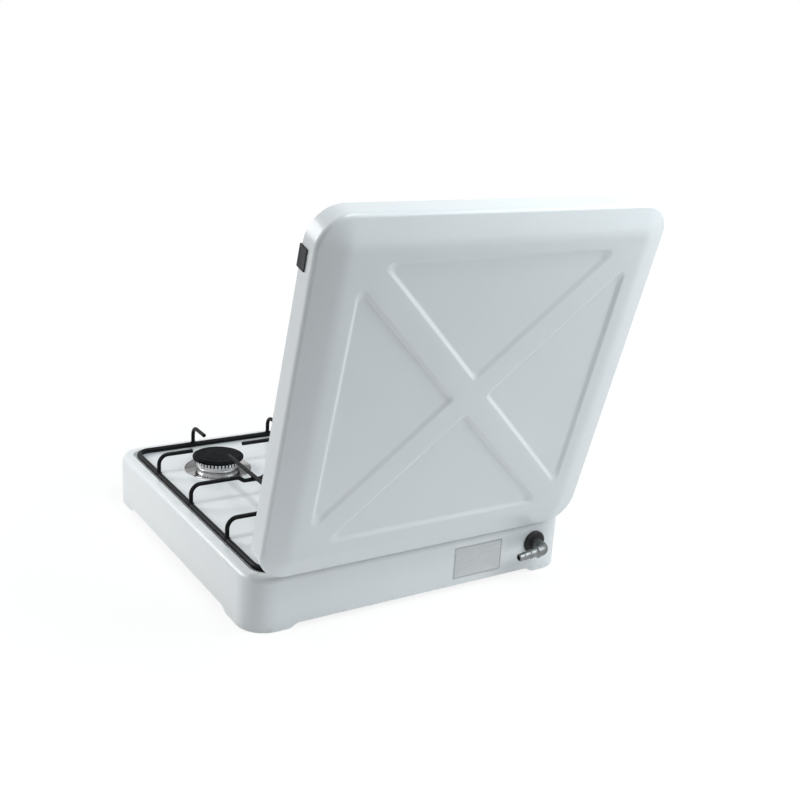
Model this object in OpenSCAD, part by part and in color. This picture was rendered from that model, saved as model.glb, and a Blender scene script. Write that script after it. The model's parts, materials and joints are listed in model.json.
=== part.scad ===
// Tabletop gas hob with four burners, a welded wire pan support and a pressed lid that folds back.
// Millimetres. +X is to the right of the person who cooks, +Y to the back and +Z up. The origin is
// the middle of the body on the plane that the feet stand on. The lid is drawn open, on its stop.

/* [Body] */
// Width of the body, left to right
body_w = 500; // [470:5:560]
// Depth of the body, front to back
body_d = 500; // [480:5:580]
// Corner radius of the body, seen from above
body_corner_r = 38; // [32:1:60]
// Height of the rim above the table
rim_z = 77; // [72:1:100]
// Width of the rim, from the outer wall to the step down to the tray
rim_w = 17.5; // [16:0.5:22]
// Drop from the rim to the burner tray
tray_drop = 4; // [4:0.5:8]
// Outside radius of the edge between wall and rim
edge_r = 9; // [5:0.5:11]
// Thickness of the pressed steel
sheet = 1; // [0.8:0.1:1.4]
// Height of the skirt's lower edge above the table
skirt_z = 7; // [4:0.5:14]
// Height of the corner feet's lower edge above the table
corner_z = 1; // [0.5:0.5:3]
// Length of a corner foot along the front and back walls
foot_len_back = 54; // [44:1:80]
// Length of a corner foot along the side walls
foot_len_side = 68; // [44:1:100]
// Length of the curve from a corner foot up to the skirt's edge
ogee_len = 16; // [8:1:30]

/* [Feet] */
// Distance of a rubber foot's middle from the two walls at its corner
foot_inset = 27; // [24:1:34]
// Radius of a rubber foot
foot_r = 11; // [8:0.5:14]
// Height of the rubber foot below its gusset
foot_h = 9; // [7:0.5:12]
// Side length of the corner gusset that holds the foot
gusset_len = 46; // [42:1:60]

/* [Burners] */
// Distance between the left and right burners
pitch_x = 262; // [240:2:290]
// Distance between the front and rear burners, as a share of the body's depth
pitch_share = 0.5; // [0.48:0.01:0.52]
// Diameter of the large burner's cap
large_cap_d = 77; // [74:1:94]
// Diameter of the two medium caps
medium_cap_d = 68; // [62:1:76]
// Diameter of the small cap
small_cap_d = 50; // [48:1:58]
// Width of the steel drip ring that shows round a cap
ring_show = 12; // [8:0.5:16]
// Overhang of a cap past its burner head
cap_over = 5; // [3:0.5:7]
// Thickness of a cap at its edge
cap_t = 3; // [2:0.5:4]
// Height of the burner head above the cup
head_h = 14; // [12:0.5:16]
// Wall of the burner head that the gas ports cut
head_wall = 8; // [6:0.5:9]
// Width of a gas port
port_w = 2.2; // [1.5:0.1:3]
// Distance between gas ports along the head's edge
port_step = 5.4; // [5:0.2:10]
// Height of the cup's seat above the tray
cup_up = 4; // [3:0.5:5]
// Wall of the burner cup
cup_wall = 3; // [2:0.5:4]

/* [Pan support] */
// Diameter of the outer frame rod
frame_rod = 8; // [6:0.5:9]
// Diameter of the finger and cross rods
finger_rod = 6; // [5:0.5:6.5]
// Height of the pan support above the tray
pan_h = 37; // [33:0.5:38]
// Gap between the frame and the tray's step
pan_gap = 1.2; // [0.8:0.1:4]
// Bend radius of the frame's corners, at the rod's middle
frame_bend = 20; // [14:1:30]
// Bend radius at the top of a riser
finger_bend = 14; // [8:0.5:15]
// Reach of the fingers on the left and right sides
side_finger = 52.5; // [40:0.5:58]
// Reach of the fingers at the front and back
end_finger = 45.5; // [36:0.5:52]
// Clear distance from a burner's middle to the end of a rod
rod_gap = 40; // [32:1:60]
// Half length of the flat under a crossing rod
joggle_half = 14; // [10:1:20]
// Diameter of the locating pins under the frame
pin_d = 5; // [4:0.5:6]
// Length of the locating pins below the tray's top
pin_len = 7; // [4:0.5:10]
// Distance of the locating pins from the middle of each side
pin_off = 170; // [100:5:190]

/* [Lid] */
// Inset of the closed lid from the body's side walls
lid_inset_x = 6; // [3:0.5:10]
// Inset of the closed lid from the front and back walls
lid_inset_y = 6; // [4:0.5:10]
// Corner radius of the lid
lid_corner_r = 42; // [42:1:60]
// Height of the lid's skirt
lid_skirt = 28; // [24:0.5:40]
// Bend radius between skirt and band, at the sheet's middle
lid_edge_r = 6; // [3:0.5:8]
// Width of the sloping band round the lid
lid_band = 33.6; // [25:0.1:35]
// Rise of the field above the skirt's edge
lid_rise = 9.8; // [8:0.1:16]
// Bend radius between band and field, at the sheet's middle
lid_soft_r = 14; // [8:1:20]
// Gap between the rim and the closed lid's skirt
lid_gap = 2.5; // [1.5:0.5:4]
// Angle from closed to the open stop
lid_open = 105.2; // [95:0.1:110]
// Distance from the lid's middle to the outer edge of the side panels
panel_x = 191; // [180:0.5:198]
// Distance from the lid's middle to the outer edge of the front and rear panels
panel_y = 192.5; // [180:0.5:198]
// Half width of the raised cross between the panels
cross_half = 15; // [10:0.5:22]
// Depth of the pressed panels
panel_drop = 3; // [1.5:0.5:4]
// Corner radius of the pressed panels
panel_r = 7; // [4:0.5:12]
// Shortening of the rear skirt between the corners
rear_relief = 5; // [4:0.5:6]
// Length of a rubber buffer
buffer_len = 26; // [18:1:36]
// Height of a rubber buffer on the skirt
buffer_h = 14; // [8:1:20]
// Distance of a buffer's middle from the front of the lid
buffer_in = 58; // [58:1:120]
// Thickness of the buffer's rubber
buffer_t = 1.6; // [1:0.2:2.6]

/* [Hinge] */
// Distance of each hinge from the middle of the body
hinge_x = 150; // [120:5:165]
// Distance of the pivot inside the closed lid's rear face
hinge_in = 5.9; // [5.5:0.1:6.5]
// Height of the pivot above the rim
hinge_up = 10.9; // [10.8:0.1:13]
// Diameter of the hinge pin
hinge_pin_d = 4; // [3:0.5:4.5]
// Width of the hinge ear
ear_w = 9; // [8:0.5:9]
// Thickness of the hinge ear
ear_t = 3; // [2:0.5:4]
// Thickness of a hinge cheek
cheek_t = 2; // [1.5:0.5:3]
// Gap between ear and cheek
cheek_gap = 0.4; // [0.3:0.1:0.8]
// Width of the cut-out in the rear skirt
notch_w = 10; // [10:0.5:40]
// Height of the cut-out in the rear skirt
notch_h = 16; // [16:0.5:20]

/* [Gas taps and knobs] */
// Distance between neighbouring knobs
tap_pitch = 110; // [90:2:112]
// Height of the taps above the table
tap_z = 39; // [37:0.5:42]
// Radius of the tap's barrel
tap_r = 9; // [8:0.5:10]
// Radius of the turning plug inside the tap
plug_r = 5; // [4.5:0.5:6]
// Radius of the spindle
spindle_r = 3; // [2.5:0.5:3.5]
// Travel of a knob when it is pushed
push_travel = 4; // [2:0.5:5]
// Radius of a knob
knob_r = 19; // [16:0.5:22]
// Length of a knob
knob_len = 24; // [20:1:30]
// Width of the knob's grip
grip_w = 10; // [8:0.5:14]
// Radius of the ring behind a knob
bezel_r = 22; // [20:0.5:25]
// Thickness of the ring behind a knob
bezel_t = 2; // [1:0.5:4]

/* [Gas pipes] */
// Outer radius of the supply rail
rail_r = 7; // [6:0.5:8]
// Height of the supply rail
rail_z = 24; // [20:0.5:25]
// Radius of a burner tube
tube_r = 3.2; // [2.5:0.1:4]
// Bend radius of a burner tube
tube_bend = 14; // [10:1:15]
// Radius of the inlet pipe
pipe_r = 5; // [4:0.5:6]
// Bend radius of the inlet pipe
pipe_bend = 18; // [14:1:24]

/* [Gas inlet] */
// Distance of the inlet from the middle of the body
inlet_x = 192; // [180:1:196]
// Height of the inlet
inlet_z = 47; // [43:0.5:50]
// Radius of the rubber grommet's outer flange
grommet_r = 17; // [14:0.5:18]
// Thickness of the grommet's outer flange
grommet_t = 5; // [3:0.5:8]
// Radius of the inlet stub
stub_r = 8; // [6:0.5:8.5]
// Distance of the hose nozzle from the back wall
nozzle_out = 26; // [24:1:36]
// Length of the hose nozzle from the elbow's middle
nozzle_len = 46; // [40:1:60]
// Radius of the nozzle at its tip
nozzle_tip_r = 5.2; // [4.5:0.1:6]
// Downward tilt of the nozzle
nozzle_tilt = 6; // [0:1:20]

/* [Hidden] */
$fn = 64;

// Gap between pieces that are welded, pressed or pushed together
seat_gap = 0.05;
// Clearance of turning and sliding fits, on the radius
run_gap = 0.05;
// Extra length of a cutting tool past the face it cuts
over = 1;

enamel_white = [0.93, 0.94, 0.95];
enamel_black = [0.09, 0.09, 0.10];
rubber_black = [0.06, 0.06, 0.06];
plastic_black = [0.10, 0.10, 0.11];
steel_bright = [0.78, 0.78, 0.80];
steel_zinc = [0.66, 0.67, 0.68];
aluminium = [0.74, 0.74, 0.75];
brass = [0.78, 0.62, 0.30];

// Heights of the tray's top and underside
tray_z = rim_z - tray_drop;
tray_under = tray_z - sheet;
// The step's two bends meet, but for a short straight piece between them
step_flat = 0.2;
step_bend = (tray_drop - step_flat) / 2;
// The pressed wall's lap with the tray's floor
tray_lap = 6;
floor_inset = rim_w + tray_lap / 2;

wall_front = -body_d / 2;
wall_back = body_d / 2;
back_inner = wall_back - sheet;

// Burners: place, cap diameter
pitch_y = pitch_share * body_d;
burners = [
    [pitch_x / 2, -pitch_y / 2, large_cap_d],
    [-pitch_x / 2, -pitch_y / 2, small_cap_d],
    [pitch_x / 2, pitch_y / 2, medium_cap_d],
    [-pitch_x / 2, pitch_y / 2, medium_cap_d]
];
function head_r(b) = b[2] / 2 - cap_over;
cup_step = 7;
function cup_r(b) = head_r(b) - cup_step;
function ring_r(b) = b[2] / 2 + ring_show;
flange_over = 9;
flange_t = 3;
screw_r = 2;
screw_out = 5;
head_z = tray_z + cup_up;
cap_z = head_z + head_h;

// The injector block hangs below the burner on two legs, level with the taps
block_r = 13;
block_h = 12;
block_z = tap_z - block_h / 2;
boss_r = 5.6;
boss_out = 22;
leg_t = 4;
leg_w = 10;
tube_bore = tube_r - 1;
throat_r = 8;
tube_wall = 2.5;
jet_r = 3;
jet_h = 6;
jet_gap = 4;

// Taps, numbered from left to right, and the burner that each one feeds
tap_x = [for (k = [-1.5:1:1.5]) k * tap_pitch];
tap_burner = [1, 3, 2, 0];
tap_front = wall_front + 11;
gland_t = 4;
plug_len = 26;
barrel_len = gland_t + plug_len + 8;
outlet_len = 10;
outlet_r = 6.5;
tap_rear = tap_front + barrel_len;
outlet_end = tap_rear + outlet_len;
tube_grip = 8;
rail_in = 22;
rail_y = tap_front + rail_in;
// Play of the plug at each end, and the start of the outlet bore in front of the barrel's rear
plug_end = 0.7;
bore_start = 5;
plug_front = tap_front + gland_t + plug_end;
spindle_in = 10;
spindle_flat = 0.8;
spindle_hole_r = spindle_r + 2;
knob_gap = push_travel + 1;
knob_back = wall_front - bezel_t - knob_gap;
knob_bore = 14;

// Pan support: the frame lies on the tray, just inside the step
frame_r = frame_rod / 2;
finger_r = finger_rod / 2;
frame_in = rim_w + step_bend + pan_gap + frame_r;
frame_x = body_w / 2 - frame_in;
frame_y = body_d / 2 - frame_in;
frame_z = tray_z + frame_r;
finger_z = tray_z + pan_h - finger_r;
riser_h = finger_z - frame_z;
// A joggle drops a rod's width and a weld, along a slope of three in four
rod_weld = 0.15;
joggle_drop = finger_rod + rod_weld;
joggle_run = joggle_drop * 4 / 3;
joggle_bend = 9;
rod_half_x = pitch_x / 2 - rod_gap;
rod_half_y = pitch_y / 2 - rod_gap;
pin_hole_gap = 0.6;

// Lid, with its own height counted from the lower edge of its skirt
lid_w = body_w - 2 * lid_inset_x;
lid_d = body_d - 2 * lid_inset_y;
lid_z = rim_z + lid_gap;
hinge_y = lid_d / 2 - hinge_in;
hinge_z = rim_z + hinge_up;
field_z = lid_skirt + lid_rise;
field_lap = 6;
field_inset = sheet / 2 + lid_band + field_lap / 2;
panel_run = 4;
panel_over = 0.4;
buffer_foot = lid_gap - 0.3;

// Hinge
pin_z = hinge_z - lid_z;
stop_gap = 0.3;
stop_t = 2.5;
stop_len = 17;
stop_tail = 1;
ear_low = 30;
flange_w = 24;
bracket_t = 2;
leaf_t = 1.5;
leaf_w = 24;
leaf_len = 22;
slot_gap = 0.6;
// The rear skirt is also shortened along the first part of each corner, this far and this deep
relief_corner = 14;
relief_deep = 5;

// Gas inlet
pipe_x = -inlet_x;
block_y = back_inner - 20;
inlet_block_r = 9;
wall_hole_r = stub_r + 3;
stub_proud = 3;
elbow_bend = 9;
collar_at = 15;
collar_r = 8.8;

// Unit vector along v
function unit(v) = v / norm(v);

// Signed turn of a flat path at its point i, positive to the left
function turn_at(pts, i) =
    let (a = unit(pts[i] - pts[i - 1]), b = unit(pts[i + 1] - pts[i]))
    atan2(a.x * b.y - a.y * b.x, a * b);

// Length that the bend at point i takes from both straight runs
function trim_at(pts, bends, i) =
    i == 0 || i == len(pts) - 1 ? 0 : bends[i - 1] * tan(abs(turn_at(pts, i)) / 2);

// Draws child 0 along each straight run and child 1 round each bend, every piece starting from the
// end of the one before. Child 0 reads $run and goes along +X. Child 1 reads $bend and $turn, and
// starts across the Y axis with the bend's middle at the origin.
module follow(runs, bends, turns, i = 0) {
    side = i < len(turns) ? sign(turns[i]) : 0;
    $run = runs[i];
    children(0);
    if (side != 0) {
        $bend = bends[i];
        $turn = turns[i];
        translate([$run, side * $bend, 0]) {
            children(1);
            rotate($turn)
                translate([0, -side * $bend, 0])
                    follow(runs, bends, turns, i + 1) {
                        children(0);
                        children(1);
                    }
        }
    }
}

// Carries the two children along a flat path of points with a bend radius at each inner point
module follow_points(pts, bends) {
    last = len(pts) - 1;
    turns = [for (i = [1:1:last - 1]) turn_at(pts, i)];
    runs = [for (i = [0:last - 1])
        norm(pts[i + 1] - pts[i]) - trim_at(pts, bends, i) - trim_at(pts, bends, i + 1)];
    ahead = pts[1] - pts[0];
    translate(pts[0])
        rotate(atan2(ahead.y, ahead.x))
            follow(runs, bends, turns) {
                children(0);
                children(1);
            }
}

// Flat wedge that a bend fills: ahead of the Y axis and behind the same axis after the turn
module bend_wedge(turn, reach) {
    intersection() {
        translate([0, -reach])
            square([reach, 2 * reach]);
        rotate(turn)
            translate([-reach, -reach])
                square([reach, 2 * reach]);
    }
}

// Round rod along a flat path in the XY plane
module bent_rod(pts, bends, r) {
    follow_points(pts, bends) {
        rotate([0, 90, 0])
            cylinder(r = r, h = $run);
        intersection() {
            rotate_extrude()
                translate([$bend, 0])
                    circle(r);
            linear_extrude(height = 4 * r, center = true)
                bend_wedge($turn, 2 * ($bend + r));
        }
    }
}

// Folded sheet in section: a strip of thickness t along the middle of the sheet
module bent_strip(pts, bends, t) {
    follow_points(pts, bends) {
        translate([0, -t / 2])
            square([$run, t]);
        intersection() {
            difference() {
                circle($bend + t / 2);
                circle($bend - t / 2);
            }
            bend_wedge($turn, 2 * ($bend + t));
        }
    }
}

// Carries a section round a rectangle with round corners; the section's x is measured outwards
// from the line through the corners' middles
module sweep_rect(w, d, r) {
    for (k = [0:3]) {
        across = k % 2 == 0 ? w : d;
        along = k % 2 == 0 ? d : w;
        rotate(90 * k) {
            translate([across / 2 - r, 0, 0])
                rotate([90, 0, 0])
                    linear_extrude(height = along - 2 * r, center = true)
                        children();
            translate([across / 2 - r, along / 2 - r, 0])
                rotate_extrude(angle = 90)
                    children();
        }
    }
}

// Flat rectangle with round corners
module round_rect(w, d, r) {
    square([w - 2 * r, d], center = true);
    square([w, d - 2 * r], center = true);
    for (x = [-1, 1], y = [-1, 1])
        translate([x * (w / 2 - r), y * (d / 2 - r)])
            circle(r);
}

// Turns a section drawn in Y and Z into a plate of thickness t across X
module plate_yz(t) {
    rotate([90, 0, 90])
        linear_extrude(height = t, center = true)
            children();
}

// Copies to the left and the right of the middle
module both_sides(x) {
    for (s = [-1, 1])
        translate([s * x, 0, 0])
            children();
}

// Opening under the skirt between two corner feet, with an S curve at each end
module scallop(span) {
    steps = 8;
    rise = skirt_z - corner_z;
    function s_curve(t) = rise * t * t * (3 - 2 * t);
    half = [for (i = [0:steps]) [span / 2 - ogee_len * i / steps, corner_z + s_curve(i / steps)]];
    mirrored = [for (i = [steps:-1:0]) [-half[i].x, half[i].y]];
    polygon(concat([[span / 2, corner_z - over]], half, mirrored, [[-span / 2, corner_z - over]]));
}

module body_section() {
    outer = body_corner_r - sheet / 2;
    step = body_corner_r - rim_w;
    bent_strip(
        [[outer, corner_z], [outer, rim_z - sheet / 2], [step, rim_z - sheet / 2],
         [step, tray_z - sheet / 2], [step - tray_lap, tray_z - sheet / 2]],
        [edge_r - sheet / 2, step_bend, step_bend], sheet);
}

module hinge_slot() {
    translate([-ear_t / 2 - slot_gap, hinge_y - ear_w / 2 - slot_gap, rim_z - edge_r])
        cube([ear_t + 2 * slot_gap, ear_w + 2 * slot_gap, edge_r + over]);
}

module body_shell() {
    color(enamel_white)
    difference() {
        union() {
            sweep_rect(body_w, body_d, body_corner_r)
                body_section();
            translate([0, 0, tray_under])
                linear_extrude(height = sheet)
                    round_rect(body_w - 2 * floor_inset, body_d - 2 * floor_inset,
                               body_corner_r - floor_inset);
        }
        for (b = burners)
            translate([b.x, b.y, tray_under - over]) {
                cylinder(r = cup_r(b) + over, h = sheet + 2 * over);
                both_sides(cup_r(b) + screw_out)
                    cylinder(r = screw_r + seat_gap, h = sheet + 2 * over);
            }
        for (x = [-frame_x, frame_x], y = [-pin_off, pin_off])
            translate([x, y, tray_under - over])
                cylinder(d = pin_d + 2 * pin_hole_gap, h = sheet + 2 * over);
        for (x = tap_x)
            translate([x, wall_front - over, tap_z])
                rotate([-90, 0, 0])
                    cylinder(r = spindle_hole_r, h = sheet + 2 * over);
        translate([pipe_x, back_inner - over, inlet_z])
            rotate([-90, 0, 0])
                cylinder(r = wall_hole_r, h = sheet + 2 * over);
        both_sides(hinge_x)
            hinge_slot();
        rotate([90, 0, 0])
            linear_extrude(height = body_d + 2 * over, center = true)
                scallop(body_w - 2 * foot_len_back);
        rotate([90, 0, 90])
            linear_extrude(height = body_w + 2 * over, center = true)
                scallop(body_d - 2 * foot_len_side);
    }
}

module at_corners(inset) {
    for (x = [-1, 1], y = [-1, 1])
        translate([x * (body_w / 2 - inset), y * (body_d / 2 - inset), 0])
            children();
}

foot_stem_r = 5;
gusset_t = 1.5;

module corner_gussets() {
    wall = sheet + 2 * seat_gap;
    color(steel_zinc)
    difference() {
        translate([0, 0, foot_h])
            linear_extrude(height = gusset_t)
                intersection() {
                    round_rect(body_w - 2 * wall, body_d - 2 * wall, body_corner_r - wall);
                    at_corners(gusset_len / 2)
                        square(gusset_len, center = true);
                }
        at_corners(foot_inset)
            translate([0, 0, foot_h - over])
                cylinder(r = foot_stem_r + seat_gap, h = gusset_t + 2 * over);
    }
}

module rubber_feet() {
    bulb = 1.2;
    bulb_z = foot_h + gusset_t + seat_gap;
    bulb_top = bulb_z + 3;
    chamfer = 1.5;
    color(rubber_black)
    at_corners(foot_inset)
        rotate_extrude()
            polygon([[0, 0], [foot_r - chamfer, 0], [foot_r, chamfer], [foot_r, foot_h],
                     [foot_stem_r, foot_h], [foot_stem_r, bulb_z], [foot_stem_r + bulb, bulb_z],
                     [foot_stem_r, bulb_top], [0, bulb_top]]);
}

module drip_ring(b) {
    t = 0.8;
    lip = 3;
    cup_gap = 1.5;
    under_head = 0.3;
    inner = cup_r(b) + cup_gap;
    top = head_z - under_head;
    color(steel_bright)
    translate([b.x, b.y, 0])
        rotate_extrude()
            polygon([[ring_r(b), tray_z], [ring_r(b), tray_z + t], [ring_r(b) - lip, tray_z + t],
                     [head_r(b) - lip, top], [inner, top], [inner, top - t],
                     [head_r(b) - lip, top - t], [ring_r(b) - lip, tray_z]]);
}

module burner_base(b) {
    r = cup_r(b);
    flange_z = tray_under - flange_t;
    throat_low = tap_z + block_h / 2 + jet_h + jet_gap;
    color(aluminium)
    translate([b.x, b.y, 0])
    difference() {
        union() {
            translate([0, 0, flange_z])
                cylinder(r = r + flange_over, h = flange_t);
            translate([0, 0, flange_z])
                cylinder(r = r, h = head_z - flange_z);
            translate([0, 0, throat_low])
                cylinder(r = throat_r + tube_wall, h = flange_z - throat_low);
            translate([0, 0, block_z])
                cylinder(r = block_r, h = block_h);
            for (x = [-1, 1])
                translate([x * (block_r - leg_t / 2) - leg_t / 2, -leg_w / 2, block_z])
                    cube([leg_t, leg_w, flange_z - block_z + over]);
            translate([0, 0, tap_z])
                rotate([90, 0, 0])
                    cylinder(r = boss_r, h = boss_out);
        }
        translate([0, 0, flange_z + flange_t])
            cylinder(r = r - cup_wall, h = head_z);
        translate([0, 0, throat_low - over])
            cylinder(r = throat_r, h = head_z);
        translate([0, 0, tap_z])
            cylinder(r = jet_r + seat_gap, h = block_h);
        translate([0, -boss_out - over, tap_z])
            rotate([-90, 0, 0])
                cylinder(r = tube_r + seat_gap, h = tube_grip + over);
        translate([0, -boss_out, tap_z])
            rotate([-90, 0, 0])
                cylinder(r = tube_bore, h = boss_out);
        both_sides(r + screw_out)
            translate([0, 0, flange_z - over])
                cylinder(r = screw_r + seat_gap, h = flange_t + 2 * over);
    }
}

module burner_head(b) {
    r = head_r(b);
    inner = r - head_wall;
    spigot_gap = 0.3;
    spigot_t = 2;
    spigot = cup_r(b) - cup_wall - spigot_gap;
    deck = 3;
    chamfer = 1.5;
    port_z = head_z + head_h / 2;
    count = floor(2 * PI * r / port_step);
    color(aluminium)
    translate([b.x, b.y, 0])
    difference() {
        rotate_extrude()
            polygon([[spigot - spigot_t, head_z - spigot_t], [spigot, head_z - spigot_t], [spigot, head_z],
                     [r - chamfer, head_z], [r, head_z + deck], [r, cap_z], [inner, cap_z],
                     [inner, head_z + deck], [spigot - spigot_t, head_z + deck]]);
        for (k = [0:count - 1])
            rotate(360 * k / count)
                translate([inner - over, -port_w / 2, port_z])
                    cube([head_wall + 2 * over, port_w, head_h]);
    }
}

module burner_cap(b) {
    r = b[2] / 2;
    lip_gap = 0.4;
    lip_t = 2;
    lip_h = 3;
    lip = head_r(b) - head_wall - lip_gap;
    soft = 1.4;
    dome = 1.2;
    dome_r = r - 4;
    color(enamel_black)
    translate([b.x, b.y, 0])
        rotate_extrude()
            union() {
                translate([0, cap_z])
                    square([r - soft, cap_t]);
                translate([0, cap_z])
                    square([r, cap_t - soft]);
                translate([r - soft, cap_z + cap_t - soft])
                    circle(soft);
                polygon([[0, cap_z + cap_t - over], [dome_r, cap_z + cap_t - over], [dome_r, cap_z + cap_t],
                         [dome_r - dome, cap_z + cap_t + dome], [0, cap_z + cap_t + dome]]);
                translate([lip - lip_t, cap_z - lip_h])
                    square([lip_t, lip_h + over]);
            }
}

module gas_injectors() {
    hex_r = jet_r + 2;
    hex_h = jet_h - 2;
    nose_r = jet_r - 0.5;
    hole_r = 0.6;
    color(brass)
    for (b = burners)
        translate([b.x, b.y, tap_z])
        difference() {
            union() {
                translate([0, 0, over])
                    cylinder(r = jet_r, h = block_h / 2);
                translate([0, 0, block_h / 2])
                    cylinder(r = hex_r, h = hex_h, $fn = 6);
                translate([0, 0, block_h / 2])
                    cylinder(r = nose_r, h = jet_h);
            }
            cylinder(r = hole_r, h = block_h + jet_h);
        }
}

module burner_screws() {
    head_t = 1.2;
    head_r = 1.6 * screw_r;
    tail = 2;
    color(steel_zinc)
    for (b = burners)
        translate([b.x, b.y, 0])
            both_sides(cup_r(b) + screw_out) {
                translate([0, 0, tray_under - flange_t - tail])
                    cylinder(r = screw_r, h = flange_t + sheet + tail + seat_gap);
                translate([0, 0, tray_z])
                    cylinder(r = head_r, h = head_t);
            }
}

// Cylinder from the front towards the back, at a tap's axis
module tap_round(k, y, length, r) {
    translate([tap_x[k], y, tap_z])
        rotate([-90, 0, 0])
            cylinder(r = r, h = length);
}

module tap_body(k) {
    color(brass)
    difference() {
        union() {
            tap_round(k, tap_front, barrel_len, tap_r);
            tap_round(k, tap_rear - over, outlet_len + over, outlet_r);
            translate([tap_x[k], rail_y, rail_z])
                cylinder(r = outlet_r, h = tap_z - rail_z);
        }
        tap_round(k, tap_front + gland_t, plug_len + 2 * plug_end, plug_r + run_gap);
        tap_round(k, tap_front - over, gland_t + 2 * over, spindle_r + run_gap);
        tap_round(k, outlet_end - tube_grip, tube_grip + over, tube_r + seat_gap);
        tap_round(k, tap_rear - bore_start, outlet_len, tube_bore);
        translate([tap_x[k], rail_y, rail_z])
            rotate([0, 90, 0])
                cylinder(r = rail_r + seat_gap, h = 4 * tap_r, center = true);
    }
}

module tap_plug(k) {
    color(brass)
    difference() {
        tap_round(k, plug_front, plug_len, plug_r);
        tap_round(k, plug_front - over, spindle_in + push_travel + 2 * over, spindle_r + run_gap);
    }
}

module tap_spindle(k) {
    tail = plug_front + spindle_in;
    nose = knob_back - knob_bore + over;
    flat = spindle_r - spindle_flat;
    color(steel_zinc)
    difference() {
        tap_round(k, nose, tail - nose, spindle_r);
        translate([tap_x[k] - spindle_r - over, nose - over, tap_z + flat])
            cube([2 * (spindle_r + over), knob_back - nose + 2 * over, spindle_r]);
    }
}

module knob(k) {
    rim = 7;
    chamfer = 2;
    front_r = knob_r - 2.5;
    dish = knob_len - 7;
    color(plastic_black)
    translate([tap_x[k], knob_back, tap_z])
        rotate([90, 0, 0])
        difference() {
            union() {
                rotate_extrude()
                    polygon([[0, 0], [knob_r, 0], [knob_r, rim - chamfer], [knob_r - chamfer, rim],
                             [front_r - chamfer, dish - chamfer], [front_r - 2 * chamfer, dish], [0, dish]]);
                intersection() {
                    cylinder(r = front_r, h = knob_len);
                    translate([-grip_w / 2, -front_r, 0])
                        cube([grip_w, 2 * front_r, knob_len]);
                }
            }
            translate([0, 0, -over])
                difference() {
                    cylinder(r = spindle_r + seat_gap / 2, h = knob_bore + over);
                    translate([-spindle_r - over, spindle_r - spindle_flat + seat_gap, 0])
                        cube([2 * (spindle_r + over), spindle_r, knob_bore + over]);
                }
        }
}

module knob_bezels() {
    bore = spindle_hole_r;
    color(steel_bright)
    for (x = tap_x)
        translate([x, wall_front, tap_z])
            rotate([90, 0, 0])
                rotate_extrude()
                    polygon([[bore, 0], [bezel_r, 0], [bezel_r, bezel_t / 2],
                             [bezel_r - bezel_t / 2, bezel_t], [bore, bezel_t]]);
}

module burner_tube(k) {
    b = burners[tap_burner[k]];
    start = [tap_x[k], outlet_end - tube_grip + seat_gap];
    finish = [b.x, b.y - boss_out + tube_grip - seat_gap];
    lead = 4;
    reach = 12;
    turn_y = b.y < 0 ? outlet_end + tube_bend + lead : b.y - boss_out - tube_bend - reach;
    color(aluminium)
    translate([0, 0, tap_z])
        bent_rod([start, [start.x, turn_y], [finish.x, turn_y], finish], [tube_bend, tube_bend], tube_r);
}

rail_end = 1.5 * tap_pitch + 20;
rail_bore = rail_r - 2.5;
pipe_socket = 10;
rail_cap = 5;

module gas_rail() {
    color(steel_zinc)
    translate([0, rail_y, rail_z])
        rotate([0, 90, 0])
        difference() {
            cylinder(r = rail_r, h = 2 * rail_end, center = true);
            translate([0, 0, -rail_end - over])
                cylinder(r = pipe_r + seat_gap, h = pipe_socket + over);
            translate([0, 0, rail_cap - rail_end])
                cylinder(r = rail_bore, h = 2 * (rail_end - rail_cap));
        }
}

module rail_brackets() {
    x = tap_pitch;
    t = 2;
    half = 12;
    flange = 16;
    color(steel_zinc)
    both_sides(x)
    difference() {
        union() {
            translate([-t / 2, rail_y - half, rail_z - half])
                cube([t, 2 * half, tray_under - rail_z + half]);
            translate([-t / 2, rail_y - half, tray_under - t])
                cube([flange, 2 * half, t]);
        }
        translate([0, rail_y, rail_z])
            rotate([0, 90, 0])
                cylinder(r = rail_r + seat_gap, h = 4 * t, center = true);
    }
}

module inlet_pipe() {
    start = [pipe_socket - 2 - rail_end, rail_y];
    finish = [pipe_x, block_y - inlet_block_r + pipe_r];
    jog = [15, 20];
    lead = finish.y - jog.y - 14;
    color(steel_zinc)
    translate([0, 0, rail_z])
        bent_rod([start, [pipe_x - jog.x, start.y], [pipe_x - jog.x, lead],
                  [pipe_x, lead + jog.y], finish], [pipe_bend, pipe_bend, pipe_bend], pipe_r);
}

module inlet_block() {
    cover = 4;
    low = rail_z - pipe_r - cover;
    high = inlet_z + stub_r + cover;
    color(brass)
    difference() {
        union() {
            translate([pipe_x, block_y, low])
                cylinder(r = inlet_block_r, h = high - low);
            translate([pipe_x, block_y, inlet_z])
                rotate([-90, 0, 0])
                    cylinder(r = stub_r, h = wall_back + grommet_t + stub_proud - block_y);
        }
        translate([pipe_x, block_y - 2 * inlet_block_r, rail_z])
            rotate([-90, 0, 0])
                cylinder(r = pipe_r + seat_gap, h = inlet_block_r + pipe_r + over);
    }
}

module inlet_grommet() {
    neck = wall_hole_r - seat_gap;
    bore = stub_r + seat_gap;
    lip = neck + 2;
    inner = 3;
    soft = 2;
    color(rubber_black)
    translate([pipe_x, wall_back, inlet_z])
        rotate([-90, 0, 0])
            rotate_extrude()
                polygon([[bore, -sheet - inner], [lip, -sheet - inner], [lip, -sheet - seat_gap],
                         [neck, -sheet - seat_gap], [neck, seat_gap], [grommet_r, seat_gap],
                         [grommet_r, grommet_t - soft], [grommet_r - soft, grommet_t], [bore, grommet_t]]);
}

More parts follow.
